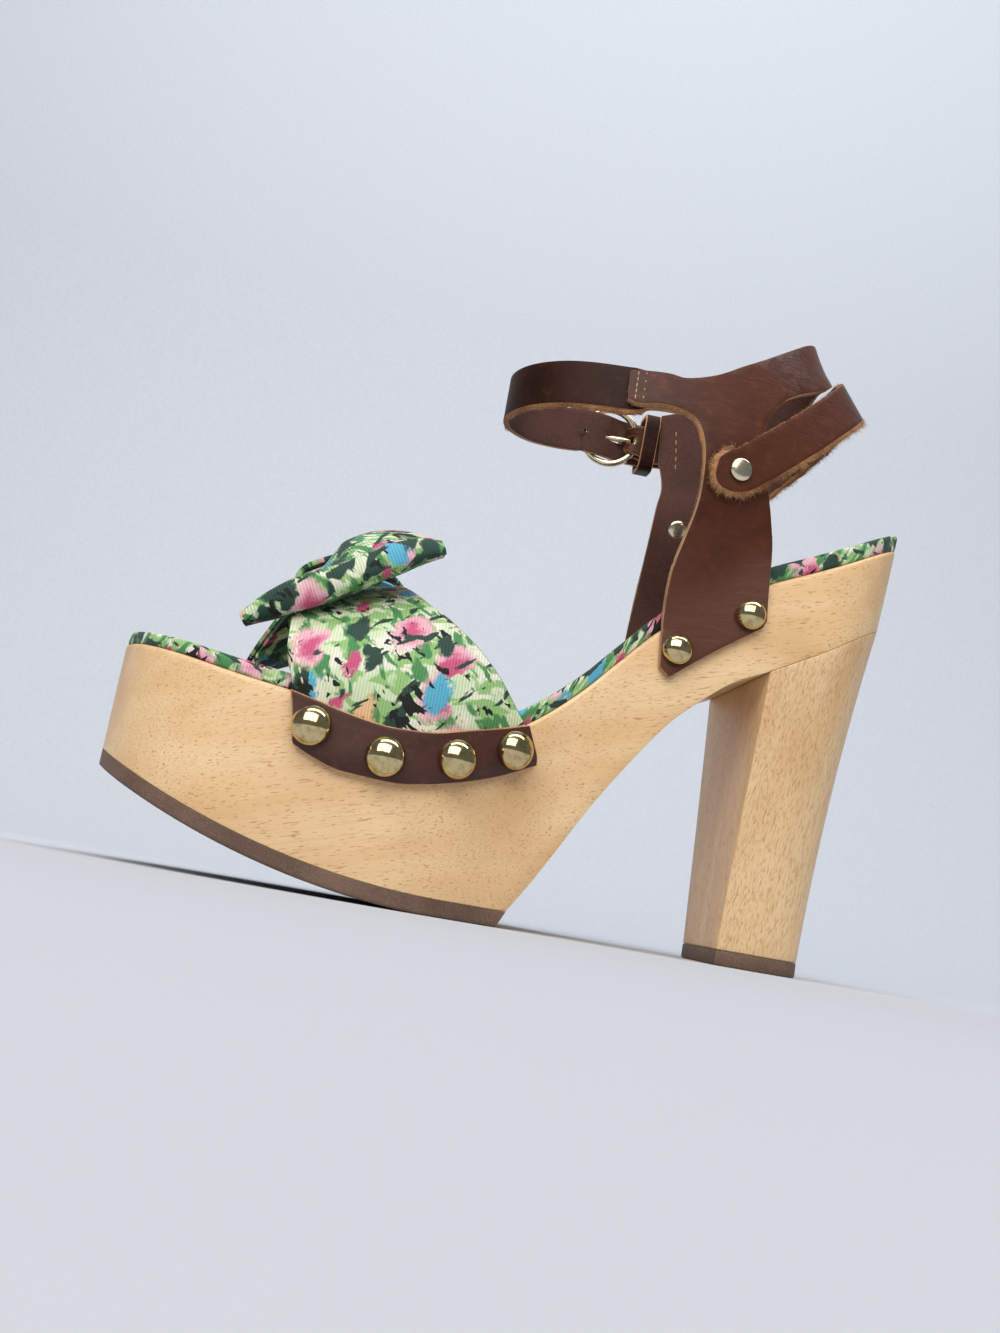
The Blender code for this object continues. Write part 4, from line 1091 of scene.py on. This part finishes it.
backStrapShape = {
    "thick": 2.0, "half": 5.9, "lift": 0.4, "blunt": 0.35, "edge": 0.3, "rivetTurn": 16.6, "rivetZ": 132.5, "steps": 8,
    # turn, height of the middle line
    "path": [(11.4, 132), (14, 131.8), (17, 132.6), (20, 135.4), (25, 140), (33, 147.2), (45, 156.2), (60, 163.4),
             (78, 168.6), (90, 169.6)],
    "rivet": [(0, 0.92), (1.4, 0.88), (2.3, 0.76), (2.8, 0.6), (3.1, 0.36), (3.2, 0.1), (3.2, 0), (0, 0)],
    "rivetBack": [(0, 0.4), (1.5, 0.37), (2.4, 0.28), (2.9, 0.12), (3.0, 0), (0, 0)], "rivetSteps": 32,
}


def buildBackStrap():
    shape = backStrapShape
    near = through(shape["path"], shape["steps"])
    path = near + farSide(near[::-1][1:])
    off = quarterShape["thick"] + gap + shape["lift"] + shape["thick"] / 2
    run = runOf([ankle(p[0], p[1], off) for p in path])
    halves = []
    for s in run:  # round ends
        left = min(s, run[-1] - s) + shape["blunt"]
        reach = shape["half"]
        halves.append(reach if left > reach else math.sqrt(reach ** 2 - (reach - left) ** 2))
    rows = ribbonRows(path, [off] * len(path), halves, np.linspace(-1, 1, 11))
    strap = gridPiece("backStrap", rows, [hide, flesh, rawEdge])
    dress(addWall(strap, shape["thick"], 0.0, shape["edge"]), "leather", "back_strap")
    high = shape["rivetZ"]
    for tag, turn in (("medial", shape["rivetTurn"]), ("lateral", 180 - shape["rivetTurn"])):
        aim = ankleNormal(turn, high)
        place = ankle(turn, high, off + shape["thick"] / 2 + gap + 0.1)
        dress(turnedPiece("rivet" + tag.capitalize(), shape["rivet"], place, aim, [paleGold], shape["rivetSteps"]),
              "brass", "rivet_" + tag)
        dress(turnedPiece("rivetBack" + tag.capitalize(), shape["rivetBack"], ankle(turn, high, -0.02), -aim,
                          [paleGold], shape["rivetSteps"]), "brass")
    return rows


strapShape = {
    "thick": 1.8, "half": 6.6, "edge": 0.3, "steps": 12, "ringX": 130.0, "ringZ": 158.4, "tabCover": 1.3,
    "holes": (-8.5, 19.5, 28.0), "holeRadius": 0.85, "slot": (-2.3, 3.6), "buckleStep": 0.5,
    "shares": (-1, -0.8, -0.6, -0.4, -0.16, 0, 0.16, 0.4, 0.6, 0.8, 1), "tilt": (-0.6, 0.045),
    # turn, height, offset of the middle line from the inner side over the front
    "path": [(4, 152.2, -1.3), (-8, 151.5, -1.3), (-18, 151, -1.2), (-45, 151.6, -0.8), (-90, 152, -0.5),
             (-125, 153.6, -0.2), (-145, 155.6, 0.2), (-157.5, 157.2, 0.4)],
    # distance behind the ring's middle, offset from the ankle form
    "buckle": [(-9, 0.5), (-6, 0.5), (-3.5, 0.8), (-1.5, 1.6), (0, 2.5), (1.5, 3.5), (3, 4.5), (5.75, 5.8), (7.5, 6.5),
               (9.5, 6.8), (12, 6.6), (15, 6), (20, 5.5), (24, 5.3), (28, 3.7), (31, 3.3), (34, 3.3), (36, 3.3)],
    "end": [(-9, 6.6), (29, 6.6), (32, 6.1), (34, 5), (36, 2.6)],
}


def buildAnkleStrap():
    shape = strapShape
    path = []
    offs = []
    halves = []
    for turn, z, off in through(shape["path"], shape["steps"])[:-1]:
        path.append((turn, z))
        offs.append(off)
        halves.append(shape["half"] - shape["tabCover"] * ease((turn + 14) / 10))  # narrower where the tab covers it
    first = len(path)
    depth = smoothTable(shape["buckle"])
    width = smoothTable(shape["end"])
    start = shape["end"][0][0]
    holes = []
    for k in range(round((shape["end"][-1][0] - start) / shape["buckleStep"]) + 1):
        s = start + shape["buckleStep"] * k
        z = shape["ringZ"] + shape["tilt"][0] + shape["tilt"][1] * (s - start)
        path.append((outerTurn(shape["ringX"] + s, z) - 360, z))
        offs.append(depth(s))
        halves.append(width(s))
        if shape["slot"][0] < s < shape["slot"][1]:
            holes += [(first + k, 4), (first + k, 5)]
    rows = ribbonRows(path, offs, halves, shape["shares"])
    strap = gridPiece("ankleStrap", rows, [hideDark, flesh, rawEdge], holes=holes)
    addWall(strap, shape["thick"], 0.0, shape["edge"])
    punch = []
    for s in shape["holes"]:
        i = first + round((s - start) / shape["buckleStep"])
        aim = unit(np.cross(rows[i + 1][5] - rows[i - 1][5], rows[i][6] - rows[i][4]))
        pin = [(0, -3), (shape["holeRadius"], -3), (shape["holeRadius"], 3), (0, 3)]
        punch.append(turnedPiece("punch", pin, rows[i][5], aim, [rawEdge], 16))
    for pin in punch:
        bite = strap.modifiers.new("bite", "BOOLEAN")
        bite.object = pin
        bite.solver = "EXACT"
    settle(strap)
    for pin in punch:
        bpy.data.objects.remove(pin)
    dress(strap, "leather", "ankle_strap")
    return rows


buckleShape = {
    "radius": 8.75, "wire": 1.1, "prong": 0.9, "ringSteps": 72, "wireSteps": 16, "prongSteps": 20,
    # chape: half width on the ring and on the tab, places across it, distances behind the ring's middle
    "chapeThick": 1.6, "chapeHalf": (5.2, 5.6), "chapeAcross": (-1, -0.36, 0.36, 1), "chapeUnder": (14.8, 12.4),
    "chapeOver": ((11.4, 0.0), (13.6, -0.4)), "chapeTab": (16.5, 19.5, 22.5), "chapeLift": 0.8,
    # keeper: half height, depth and its middle, distances behind the ring's middle
    "keeperThick": 1.2, "keeperHalf": 8.8, "keeperDeep": 5.6, "keeperMiddle": 1.5, "keeperSteps": 48,
    "keeperAlong": (10.2, 11.4, 12.6, 13.8, 15.0),
}


def buildBuckle():
    shape = buckleShape
    radius, wire, thin = shape["radius"], shape["wire"], shape["prong"]
    # Middle of the ring, with its directions toward the back, upward and outward
    x, z = strapShape["ringX"], strapShape["ringZ"]
    aim = ankleNormal(outerTurn(x + 8, z), z)
    along = unit(np.cross(np.array([0, 0, 1.0]), aim))
    along = along if along[0] > 0 else -along
    place = ankle(outerTurn(x, z), z, 2.0)
    upward = unit(np.cross(aim, along))

    def local(s, u, d):
        return place + along * s + upward * u + aim * d

    # Ring of round wire
    verts = []
    faces = []
    big, small = shape["ringSteps"], shape["wireSteps"]
    for i in range(big):
        a = 2 * math.pi * i / big
        for k in range(small):
            b = 2 * math.pi * k / small
            out = radius + wire * math.cos(b)
            verts.append(local(out * math.cos(a), out * math.sin(a), wire * math.sin(b)))
            n = (i + 1) % big
            m = (k + 1) % small
            faces.append((i * small + k, n * small + k, n * small + m, i * small + m))
    dress(newPiece("buckleRing", verts, faces, [paleGold]), "brass", "buckle_ring")

    # Prong: straight wire with a rounded point
    start = local(radius - wire - 0.4, 0, 0.1)
    end = local(-radius - 1.6, 0, wire + thin + 0.45)
    length = math.dist(start, end)
    profile = [(0, 0)]
    for a in (math.radians(18 * k) for k in range(1, 6)):
        profile.append((thin * math.sin(a), 0.35 * (1 - math.cos(a))))
    profile += [(thin, length * 0.5), (thin * 0.92, length - 1.4), (thin * 0.7, length - 0.5),
                (thin * 0.35, length - 0.1), (0, length)]
    dress(turnedPiece("bucklePeg", profile, start, end - start, [paleGold], shape["prongSteps"]),
          "brass", "buckle_prong")

    # Leather folded round the ring's rear side and laid on the quarter's tab
    bend = wire + gap + shape["chapeLift"]
    half, tabHalf = shape["chapeHalf"]
    shares = shape["chapeAcross"]
    rows = [[local(s, half * v, -bend) for v in shares] for s in shape["chapeUnder"]]
    for k in range(7):
        a = math.radians(270 - 30 * k)
        out = radius + bend * math.cos(a)
        rows.append([local(out * math.cos(math.radians(30 * v)), out * math.sin(math.radians(30 * v)),
                           bend * math.sin(a)) for v in shares])
    rows += [[local(s, half * v, bend + d) for v in shares] for s, d in shape["chapeOver"]]
    tabZ = z + 0.2
    for s in shape["chapeTab"]:
        lying = ankle(outerTurn(x + s, tabZ), tabZ, quarterShape["thick"] + gap + shape["chapeLift"])
        rows.append([lying + upward * tabHalf * v for v in shares])
    chape = gridPiece("buckleChape", rows, [hide, flesh, rawEdge], holes=[(i, 1) for i in range(2, 8)])
    dress(addWall(chape, shape["chapeThick"], 0.0, 0.2, 2), "leather", "buckle_chape")

    # Keeper loop round the chape and the strap
    rows = []
    for k in range(shape["keeperSteps"]):
        a = 2 * math.pi * k / shape["keeperSteps"]
        u = shape["keeperHalf"] * squarish(math.cos(a), 0.4)
        d = shape["keeperMiddle"] + shape["keeperDeep"] * squarish(math.sin(a), 0.4)
        rows.append([local(s, u, d) for s in shape["keeperAlong"]])
    keeper = gridPiece("strapKeeper", rows, [hideDark, flesh, rawEdge], closed=True)
    dress(addWall(keeper, shape["keeperThick"], 0.0, 0.25), "leather", "strap_keeper")


buildQuarter()
backRows = buildBackStrap()
strapRows = buildAnkleStrap()
buildBuckle()


threadShape = {
    # turn, lowest and highest stitch; then pitch, length, width and height of a stitch
    "tabStitches": ((-12.6, 147.4, 154.6), (1.75, 1.5, 0.42, 0.35)),
    "tabDots": ((-9.6, 147.6, 154.9), (2.3, 0.75, 0.4, 0.3)),
    "farTabStitches": ((165.4, 152.5, 163.0), (2.6, 1.7, 0.45, 0.3)),  # seen on the leather's inside
}
fuzzShape = {
    "pitch": 0.21, "backLength": 2.7, "topLength": 1.2, "strapLength": 1.0, "frontPitch": 0.3, "frontLength": 0.6,
    "thick": 0.055, "backSlant": 62, "slant": 60,
    "backTurn": 12,  # rows of the back strap's upper edge that its round end takes up
    "strapFirst": 8, "strapLast": 54,  # past the front of the ankle the strap's edge is clean
    # section of the matted fibres under a cut: out from the middle of the strap's thickness, down from its edge
    "backMat": [(0.7, -0.2), (0.86, 0.3), (0.5, 0.9), (-0.2, 1.25), (-0.9, 1.1), (-1.2, 0.5), (-1.1, -0.2)],
    "tabMat": [(0.5, -0.2), (0.55, 0.2), (0.3, 0.5), (-0.3, 0.8), (-0.8, 0.7), (-1.0, 0.3), (-1.0, -0.2)],
    "strapMat": [(0.55, -0.2), (0.66, 0.25), (0.35, 0.75), (-0.2, 1.05), (-0.75, 0.95), (-1.05, 0.45), (-1.0, -0.2)],
    # where the rows of fibres start, in the same measures
    "backFibres": ((0.8, 0.2), (0.5, 0.8), (-0.1, 1.1), (-0.8, 1.0)), "topFibres": ((-0.6, 0.0), (0.5, 0.0)),
    "strapFibres": ((0.6, 0.2), (0.3, 0.7), (-0.3, 0.9)), "tabFibres": ((-0.5, 0.4), (0.3, 0.4)),
}


def buildLeatherThreads():
    for name, ((turn, low, high), sizes) in threadShape.items():
        face = -1 if turn > 90 else 1
        lift = -0.02 if turn > 90 else quarterShape["thick"] + 0.02
        line = [(ankle(turn, z, lift), face * ankleNormal(turn, z)) for z in np.linspace(low, high, 12)]
        addStitches(name, [line], sizes, tanThread, "leather")


def skinsOf(rows):
    # Direction of a strap's face at each of its rows
    skins = []
    for i, row in enumerate(rows):
        along = rows[min(i + 1, len(rows) - 1)][5] - rows[max(i - 1, 0)][5]
        skins.append(unit(np.cross(along, row[6] - row[4])))
    return skins


def cutLine(points, skins):
    # Cut edge as points, each with the direction of the leather's face and the direction out of the cut
    return [(points[i], skins[i], unit(np.cross(points[i + 1] - points[i - 1], skins[i])))
            for i in range(1, len(points) - 1)]


def beside(line, starts):
    # Lines for fibres: shifted across the thickness and down from the edge
    return [[(place + skin * shift + out * drop, out) for place, skin, out in line] for shift, drop in starts]


def addMat(name, line, section, firstTaper, lastTaper):
    # Soft bead of matted fibres, uneven along the edge and thin at its ends
    rings = []
    for i, (place, skin, out) in enumerate(line):
        swell = 1 + 0.16 * math.sin(1.9 * i) + 0.14 * math.sin(0.83 * i + 1) + 0.1 * math.sin(3.1 * i + 2)
        swell *= ease((i + 1) / firstTaper) * ease((len(line) - i) / lastTaper)
        rings.append([place + skin * shift * (0.5 + 0.5 * min(swell, 1)) + out * (drop * swell - 0.1)
                      for shift, drop in section])
    dress(loftPiece(name, rings, [matted]), "leather")


def buildFuzz():
    shape = fuzzShape
    pitch, thick = shape["pitch"], shape["thick"]
    # Back strap: from its upper edge round the end and along the lower edge to the other end
    skins = skinsOf(backRows)
    end = range(shape["backTurn"], 0, -1)
    points = [backRows[i][-1] for i in end] + backRows[0][:0:-1] + [row[0] for row in backRows]
    lower = cutLine(points, [skins[i] for i in end] + [skins[0]] * 10 + skins)
    upper = cutLine([row[-1] for row in backRows[::-1]], skins[::-1])
    addMat("backStrapMat", lower, shape["backMat"], 10, 6)
    addFibres("backStrapFuzz", beside(lower, shape["backFibres"]), pitch, shape["backLength"], thick,
              shape["backSlant"], 3)
    addFibres("backStrapTopFuzz", beside(upper, shape["topFibres"]), pitch, shape["topLength"], thick,
              shape["backSlant"], 4)
    # Ankle strap: along its lower edge from the buckle to the tab
    skins = skinsOf(strapRows)
    last = shape["strapLast"]
    part = range(last, shape["strapFirst"], -1)
    lower = cutLine([strapRows[i][-1] for i in part], [skins[i] for i in part])
    upper = cutLine([row[0] for row in strapRows[:last]], skins[:last])
    addMat("ankleStrapMat", lower, shape["strapMat"], 10, 8)
    addFibres("ankleStrapFuzz", beside(lower[:-4], shape["strapFibres"]) + beside(upper, ((-0.3, 0.0),)), pitch,
              shape["strapLength"], thick, shape["slant"], 5)
    # Front cut of each side of the quarter, rough where it bends into the tab
    lines = []
    for side in ("inner", "outer"):
        edge = [p for p in outlineOf(side) if p[0] < 12 and p[1] > 77]
        edge = [p for p, q in zip(edge, edge[1:]) if math.dist(p, q) > 0.01]
        edge = edge if side == "inner" else farSide(edge[::-1])
        line = cutLine([ankle(p[0], p[1], 1.0) for p in edge], [ankleNormal(p[0], p[1]) for p in edge])
        lines += beside(line, ((0.0, 0.0),))
        if side == "inner":
            bend = [spot for spot, p in zip(line, edge[1:]) if 118 < p[1] < 147.5]
            addMat("tabMat", bend, shape["tabMat"], 14, 18)
            lines += beside(bend, shape["tabFibres"])
    addFibres("quarterFuzz", lines, shape["frontPitch"], shape["frontLength"], thick, shape["slant"], 7)


buildLeatherThreads()
buildFuzz()
print("ankle leather and buckle made")


# Ribbon bow

bowShape = {
    "x": 56.6, "tilt": 28.0, "rise": 6.2, "thick": 1.2, "span": 42.0, "roll": 4.5, "columns": 56, "edge": 0.3,
    "farTurn": 0.1,  # the outer loop points a little towards the toe
    "shrink": 0.07,  # how far the corners of the loops draw in
    "clear": 0.25, "rounds": 10,  # gap over the vamp in mm, and how often the lift is spread
    "printMiddle": 60, "printHalf": 27, "printStart": 40,
    # distance from the middle, half of the ribbon's width
    "width": [(0, 5.6), (4, 5.8), (7, 7.2), (12, 13.2), (18, 18.2), (25, 22.8), (32, 25.8), (37.5, 27), (42, 27.4)],
    # places across the ribbon, front edge to rear edge, and the height of the loop's fold there
    "across": (-1, -0.7, -0.4, -0.12, 0.06, 0.24, 0.5, 0.8, 1),
    "ends": (-12.8, -11.0, -10.2, -10.2, -10.4, -10.6, -10.2, -9.8, -10.6),
    # distance from the middle and the heights of the upper layer
    "upper": [(0,) + (1.5,) * 9, (6, 1.6, 1.7, 1.8, 1.8, 1.8, 1.8, 1.8, 1.7, 1.6),
              (12, -1.9, -1.0, -0.3, 0.8, 2.2, 3.2, 3.4, 2.4, 1.0),
              (20, -5.8, -4.5, -3.7, -1.9, 1.2, 3.6, 4.1, 3.0, 0.9),
              (30, -9.5, -7.2, -6.2, -5.2, -2.7, -0.5, 0.4, -0.5, -2.8),
              (37.5, -11.1, -8.1, -6.7, -6.6, -6.3, -5.7, -4.8, -5.2, -7.1)],
    # the same for the lower layer
    "lower": [(0,) + (-1.5,) * 9, (6, -1.6, -1.7, -1.8, -1.8, -1.8, -1.8, -1.8, -1.7, -1.6),
              (12, -3.8, -3.8, -3.8, -3.8, -3.4, -3.0, -2.6, -1.6, -1.0),
              (20, -7.6, -7.8, -8.2, -8.2, -7.8, -6.6, -5.2, -3.6, -2.2),
              (30, -11.5, -12.6, -13.0, -12.8, -12.2, -11.0, -9.6, -8.0, -6.6),
              (37.5, -13.3, -13.9, -14.0, -13.6, -13.1, -12.6, -12.0, -10.8, -10.2)],
}
bowHalf = smoothTable(bowShape["width"])
bowLayers = {up: [smoothTable(bowShape[key], k) for k in range(1, 10)] for up, key in ((1, "upper"), (-1, "lower"))}
bowTilt = math.radians(bowShape["tilt"])
bowRearward = np.array([math.cos(bowTilt), 0, math.sin(bowTilt)])
bowAim = np.array([-math.sin(bowTilt), 0, math.cos(bowTilt)])
bowCentre = vampArch(bowShape["x"], 0.5) + bowAim * (vampShape["thick"] + gap + bowShape["rise"])


def bowPoint(along, side, rise):
    return bowCentre + np.array([0, side, 0]) + bowRearward * along + bowAim * rise


def buildBow():
    shape = bowShape
    bendStart = shape["span"] - shape["roll"]
    stops = list(np.linspace(0, bendStart, 37))
    stops += [bendStart + shape["roll"] * math.sin(math.radians(90 * k / 14)) for k in range(1, 15)]
    turns = [(y, 1) for y in stops] + [(y, -1) for y in stops[-2::-1]]
    fold = smoothTable(list(zip(shape["across"], shape["ends"])))
    rows = []
    for y, up in turns + [(-y, up) for y, up in turns[-2:0:-1]]:
        r = abs(y)
        share = math.sqrt(max(1 - (max(r - bendStart, 0.0) / shape["roll"]) ** 4, 0.0))
        height = smoothTable([(v, column(r)) for v, column in zip(shape["across"], bowLayers[up])])
        row = []
        for k in range(shape["columns"] + 1):
            v = -1 + 2 * k / shape["columns"]
            side = y * (1 - shape["shrink"] * v ** 4 * ease((r - 15) / 20))
            along = bowHalf(r) * v - shape["farTurn"] * max(y, 0.0)
            row.append(bowPoint(along, side, fold(v) + (height(v) - fold(v)) * share))
        rows.append(row[::-1])
    # Where the loops lie on the vamp they rest on its face, and the lift fades out round that place
    rows = np.array(rows)
    vamp = bpy.data.objects["vampCloth"].data
    vamp = BVHTree.FromPolygons([v.co for v in vamp.vertices], [f.vertices for f in vamp.polygons])
    lift = np.zeros(rows.shape[:2])
    for i, j in np.ndindex(*lift.shape):
        point = Vector(toWorld(rows[i, j]))
        place, facing = vamp.ray_cast(point + Vector((0, 0, 0.05)), Vector((0, 0, -1)))[:2]
        if place is not None:
            short = 0.5 * shape["thick"] + shape["clear"] - 1000 * (point - place).dot(facing)
            lift[i, j] = max(short, 0.0) / max(facing.dot(bowAim), 0.4)
    for _ in range(shape["rounds"]):
        spread = (np.roll(lift, 1, 0) + np.roll(lift, -1, 0)) / 4
        spread[:, 1:-1] += (lift[:, 2:] + lift[:, :-2]) / 4
        lift = np.maximum(lift, spread)
    rows = [list(row) for row in rows + lift[:, :, None] * bowAim]
    middle = [row[len(row) // 2] for row in rows]
    run = runOf(middle + middle[:1])
    places = [shape["printHalf"] * (1 - 2 * j / shape["columns"]) + shape["printMiddle"]
              for j in range(shape["columns"] + 1)]
    uv = [[(p, s + shape["printStart"]) for p in places] for s in run]
    bow = gridPiece("bowRibbon", rows, [bowCloth] * 3, closed=True, uv=uv)
    dress(addWall(bow, shape["thick"], 0.0, shape["edge"]), "printed_cloth", "bow")


knotShape = {"thick": 1.5, "edge": 0.4, "half": 6, "reach": 9.6, "rise": 4.7, "swell": (0.35, 0.65), "round": 0.7,
             "steps": 64, "columns": 16, "printStart": 130}


def buildKnot():
    shape = knotShape
    half = shape["half"]
    places = [-half + 2 * half * j / shape["columns"] for j in range(shape["columns"] + 1)]
    rows = []
    for k in range(shape["steps"]):
        a = 2 * math.pi * k / shape["steps"]
        row = []
        for y in places:
            swell = shape["swell"][0] - shape["swell"][1] * (y / half) ** 2
            row.append(bowPoint((shape["reach"] + swell) * squarish(math.cos(a), shape["round"]), y,
                                (shape["rise"] + swell) * squarish(math.sin(a), shape["round"])))
        rows.append(row[::-1])
    run = runOf([row[len(places) // 2] for row in rows + rows[:1]])
    uv = [[(-y, s + shape["printStart"]) for y in places] for s in run]
    knot = gridPiece("bowKnot", rows, [bowCloth] * 3, closed=True, uv=uv)
    dress(addWall(knot, shape["thick"], 0.0, shape["edge"]), "printed_cloth", "bow_knot")


buildBow()
buildKnot()
print("bow made")


# Floor, light and camera

# the front tone is painted shade: the paper is made darker towards the camera
stageLook = {"floor": "C6CAD0", "toothTone": "C1C5CB", "frontShadeTone": "BABEC3", "frontShadeMm": (150.0, -150.0),
             "width": 4.0, "front": -2.0, "back": 0.9, "rise": 2.2, "curve": 0.6}


def buildStage():
    look = stageLook
    bendStart = look["back"] - look["curve"]
    steps = [(look["front"], 0.0), (0.0, 0.0), (bendStart, 0.0)]
    for a in (math.radians(90 * k / 12) for k in range(1, 13)):
        steps.append((bendStart + look["curve"] * math.sin(a), look["curve"] * (1 - math.cos(a))))
    steps.append((look["back"], look["rise"]))
    verts = [(x, y, z) for y, z in steps for x in (-look["width"] / 2, look["width"] / 2)]
    faces = [(2 * i, 2 * i + 1, 2 * i + 3, 2 * i + 2) for i in range(len(steps) - 1)]
    mesh = bpy.data.meshes.new("paperSweep")
    mesh.from_pydata(verts, [], faces)
    mesh.shade_smooth()
    # Seamless paper, matt, a little darker in front: painted shade on the floor between the shoe and the camera
    mat, tree, shader = newMaterial("seamlessPaper", 0.9, specular=0.1)
    tooth = noiseOf(tree, inMillimetres(tree, (0.4, 0.4, 0.4)), 2.0)
    depth = addNode(tree, "ShaderNodeSeparateXYZ", inputs={0: inMillimetres(tree)}).outputs[1]
    layers = [(look["toothTone"], tooth, 0.35, 0.75, 1.0), (look["frontShadeTone"], depth, *look["frontShadeMm"], 1.0)]
    tree.links.new(paintLayers(tree, look["floor"], layers), shader.inputs["Base Color"])
    mesh.materials.append(mat)
    sweep = newObject("paperSweep", mesh)


def addLight(name, place, target, size, power, tone):
    light = bpy.data.lights.new(name, "AREA")
    light.shape = "RECTANGLE"
    light.size, light.size_y = size
    light.energy = power
    light.color = hexLinear(tone)[:3]
    lamp = newObject(name, light)
    lamp.location = place
    lamp.rotation_euler = (Vector(target) - Vector(place)).to_track_quat("-Z", "Y").to_euler()


cameraShape = {"place": (69.5, -360.8, 5.0), "turn": (-10.062, -6.58, 10.564), "focal": 1271.3, "high": 1333}


def buildCamera():
    turn = Vector([math.radians(a) for a in cameraShape["turn"]])
    spin = Matrix.Rotation(turn.length, 3, turn.normalized())
    base = Matrix(((1, 0, 0), (0, 0, -1), (0, 1, 0)))
    view = (spin @ base).transposed() @ Matrix.Diagonal((1, -1, -1))
    lens = bpy.data.cameras.new("camera")
    lens.sensor_width = 36
    lens.lens = cameraShape["focal"] * lens.sensor_width / cameraShape["high"]
    lens.clip_start = 0.01
    camera = newObject("camera", lens)
    camera.matrix_world = Matrix.Translation(Vector(toWorld(cameraShape["place"]))) @ view.to_4x4()
    bpy.context.scene.camera = camera


worldLook = {"tone": "D5DBE4", "strength": 0.24}


def buildWorld():
    world = bpy.data.worlds.new("studio")
    world.use_nodes = True
    ground = world.node_tree.nodes["Background"].inputs
    ground["Color"].default_value = hexLinear(worldLook["tone"])
    ground["Strength"].default_value = worldLook["strength"]
    bpy.context.scene.world = world
    bpy.context.scene.view_settings.view_transform = "Standard"


buildStage()
addLight("keyBox", (-0.3, -1.1, 0.95), (0.0, 0.0, 0.09), (1.5, 1.0), 20.0, "FFF9F2")
addLight("topBox", (0.0, 0.0, 1.5), (0.0, 0.0, 0.0), (1.6, 1.6), 1.5, "F6F9FF")
addLight("paperBox", (0.25, -0.2, 1.6), (0.25, 0.9, 0.4), (2.0, 0.4), 20, "F6F9FF")
buildWorld()
buildCamera()
print("stage, light and camera set")
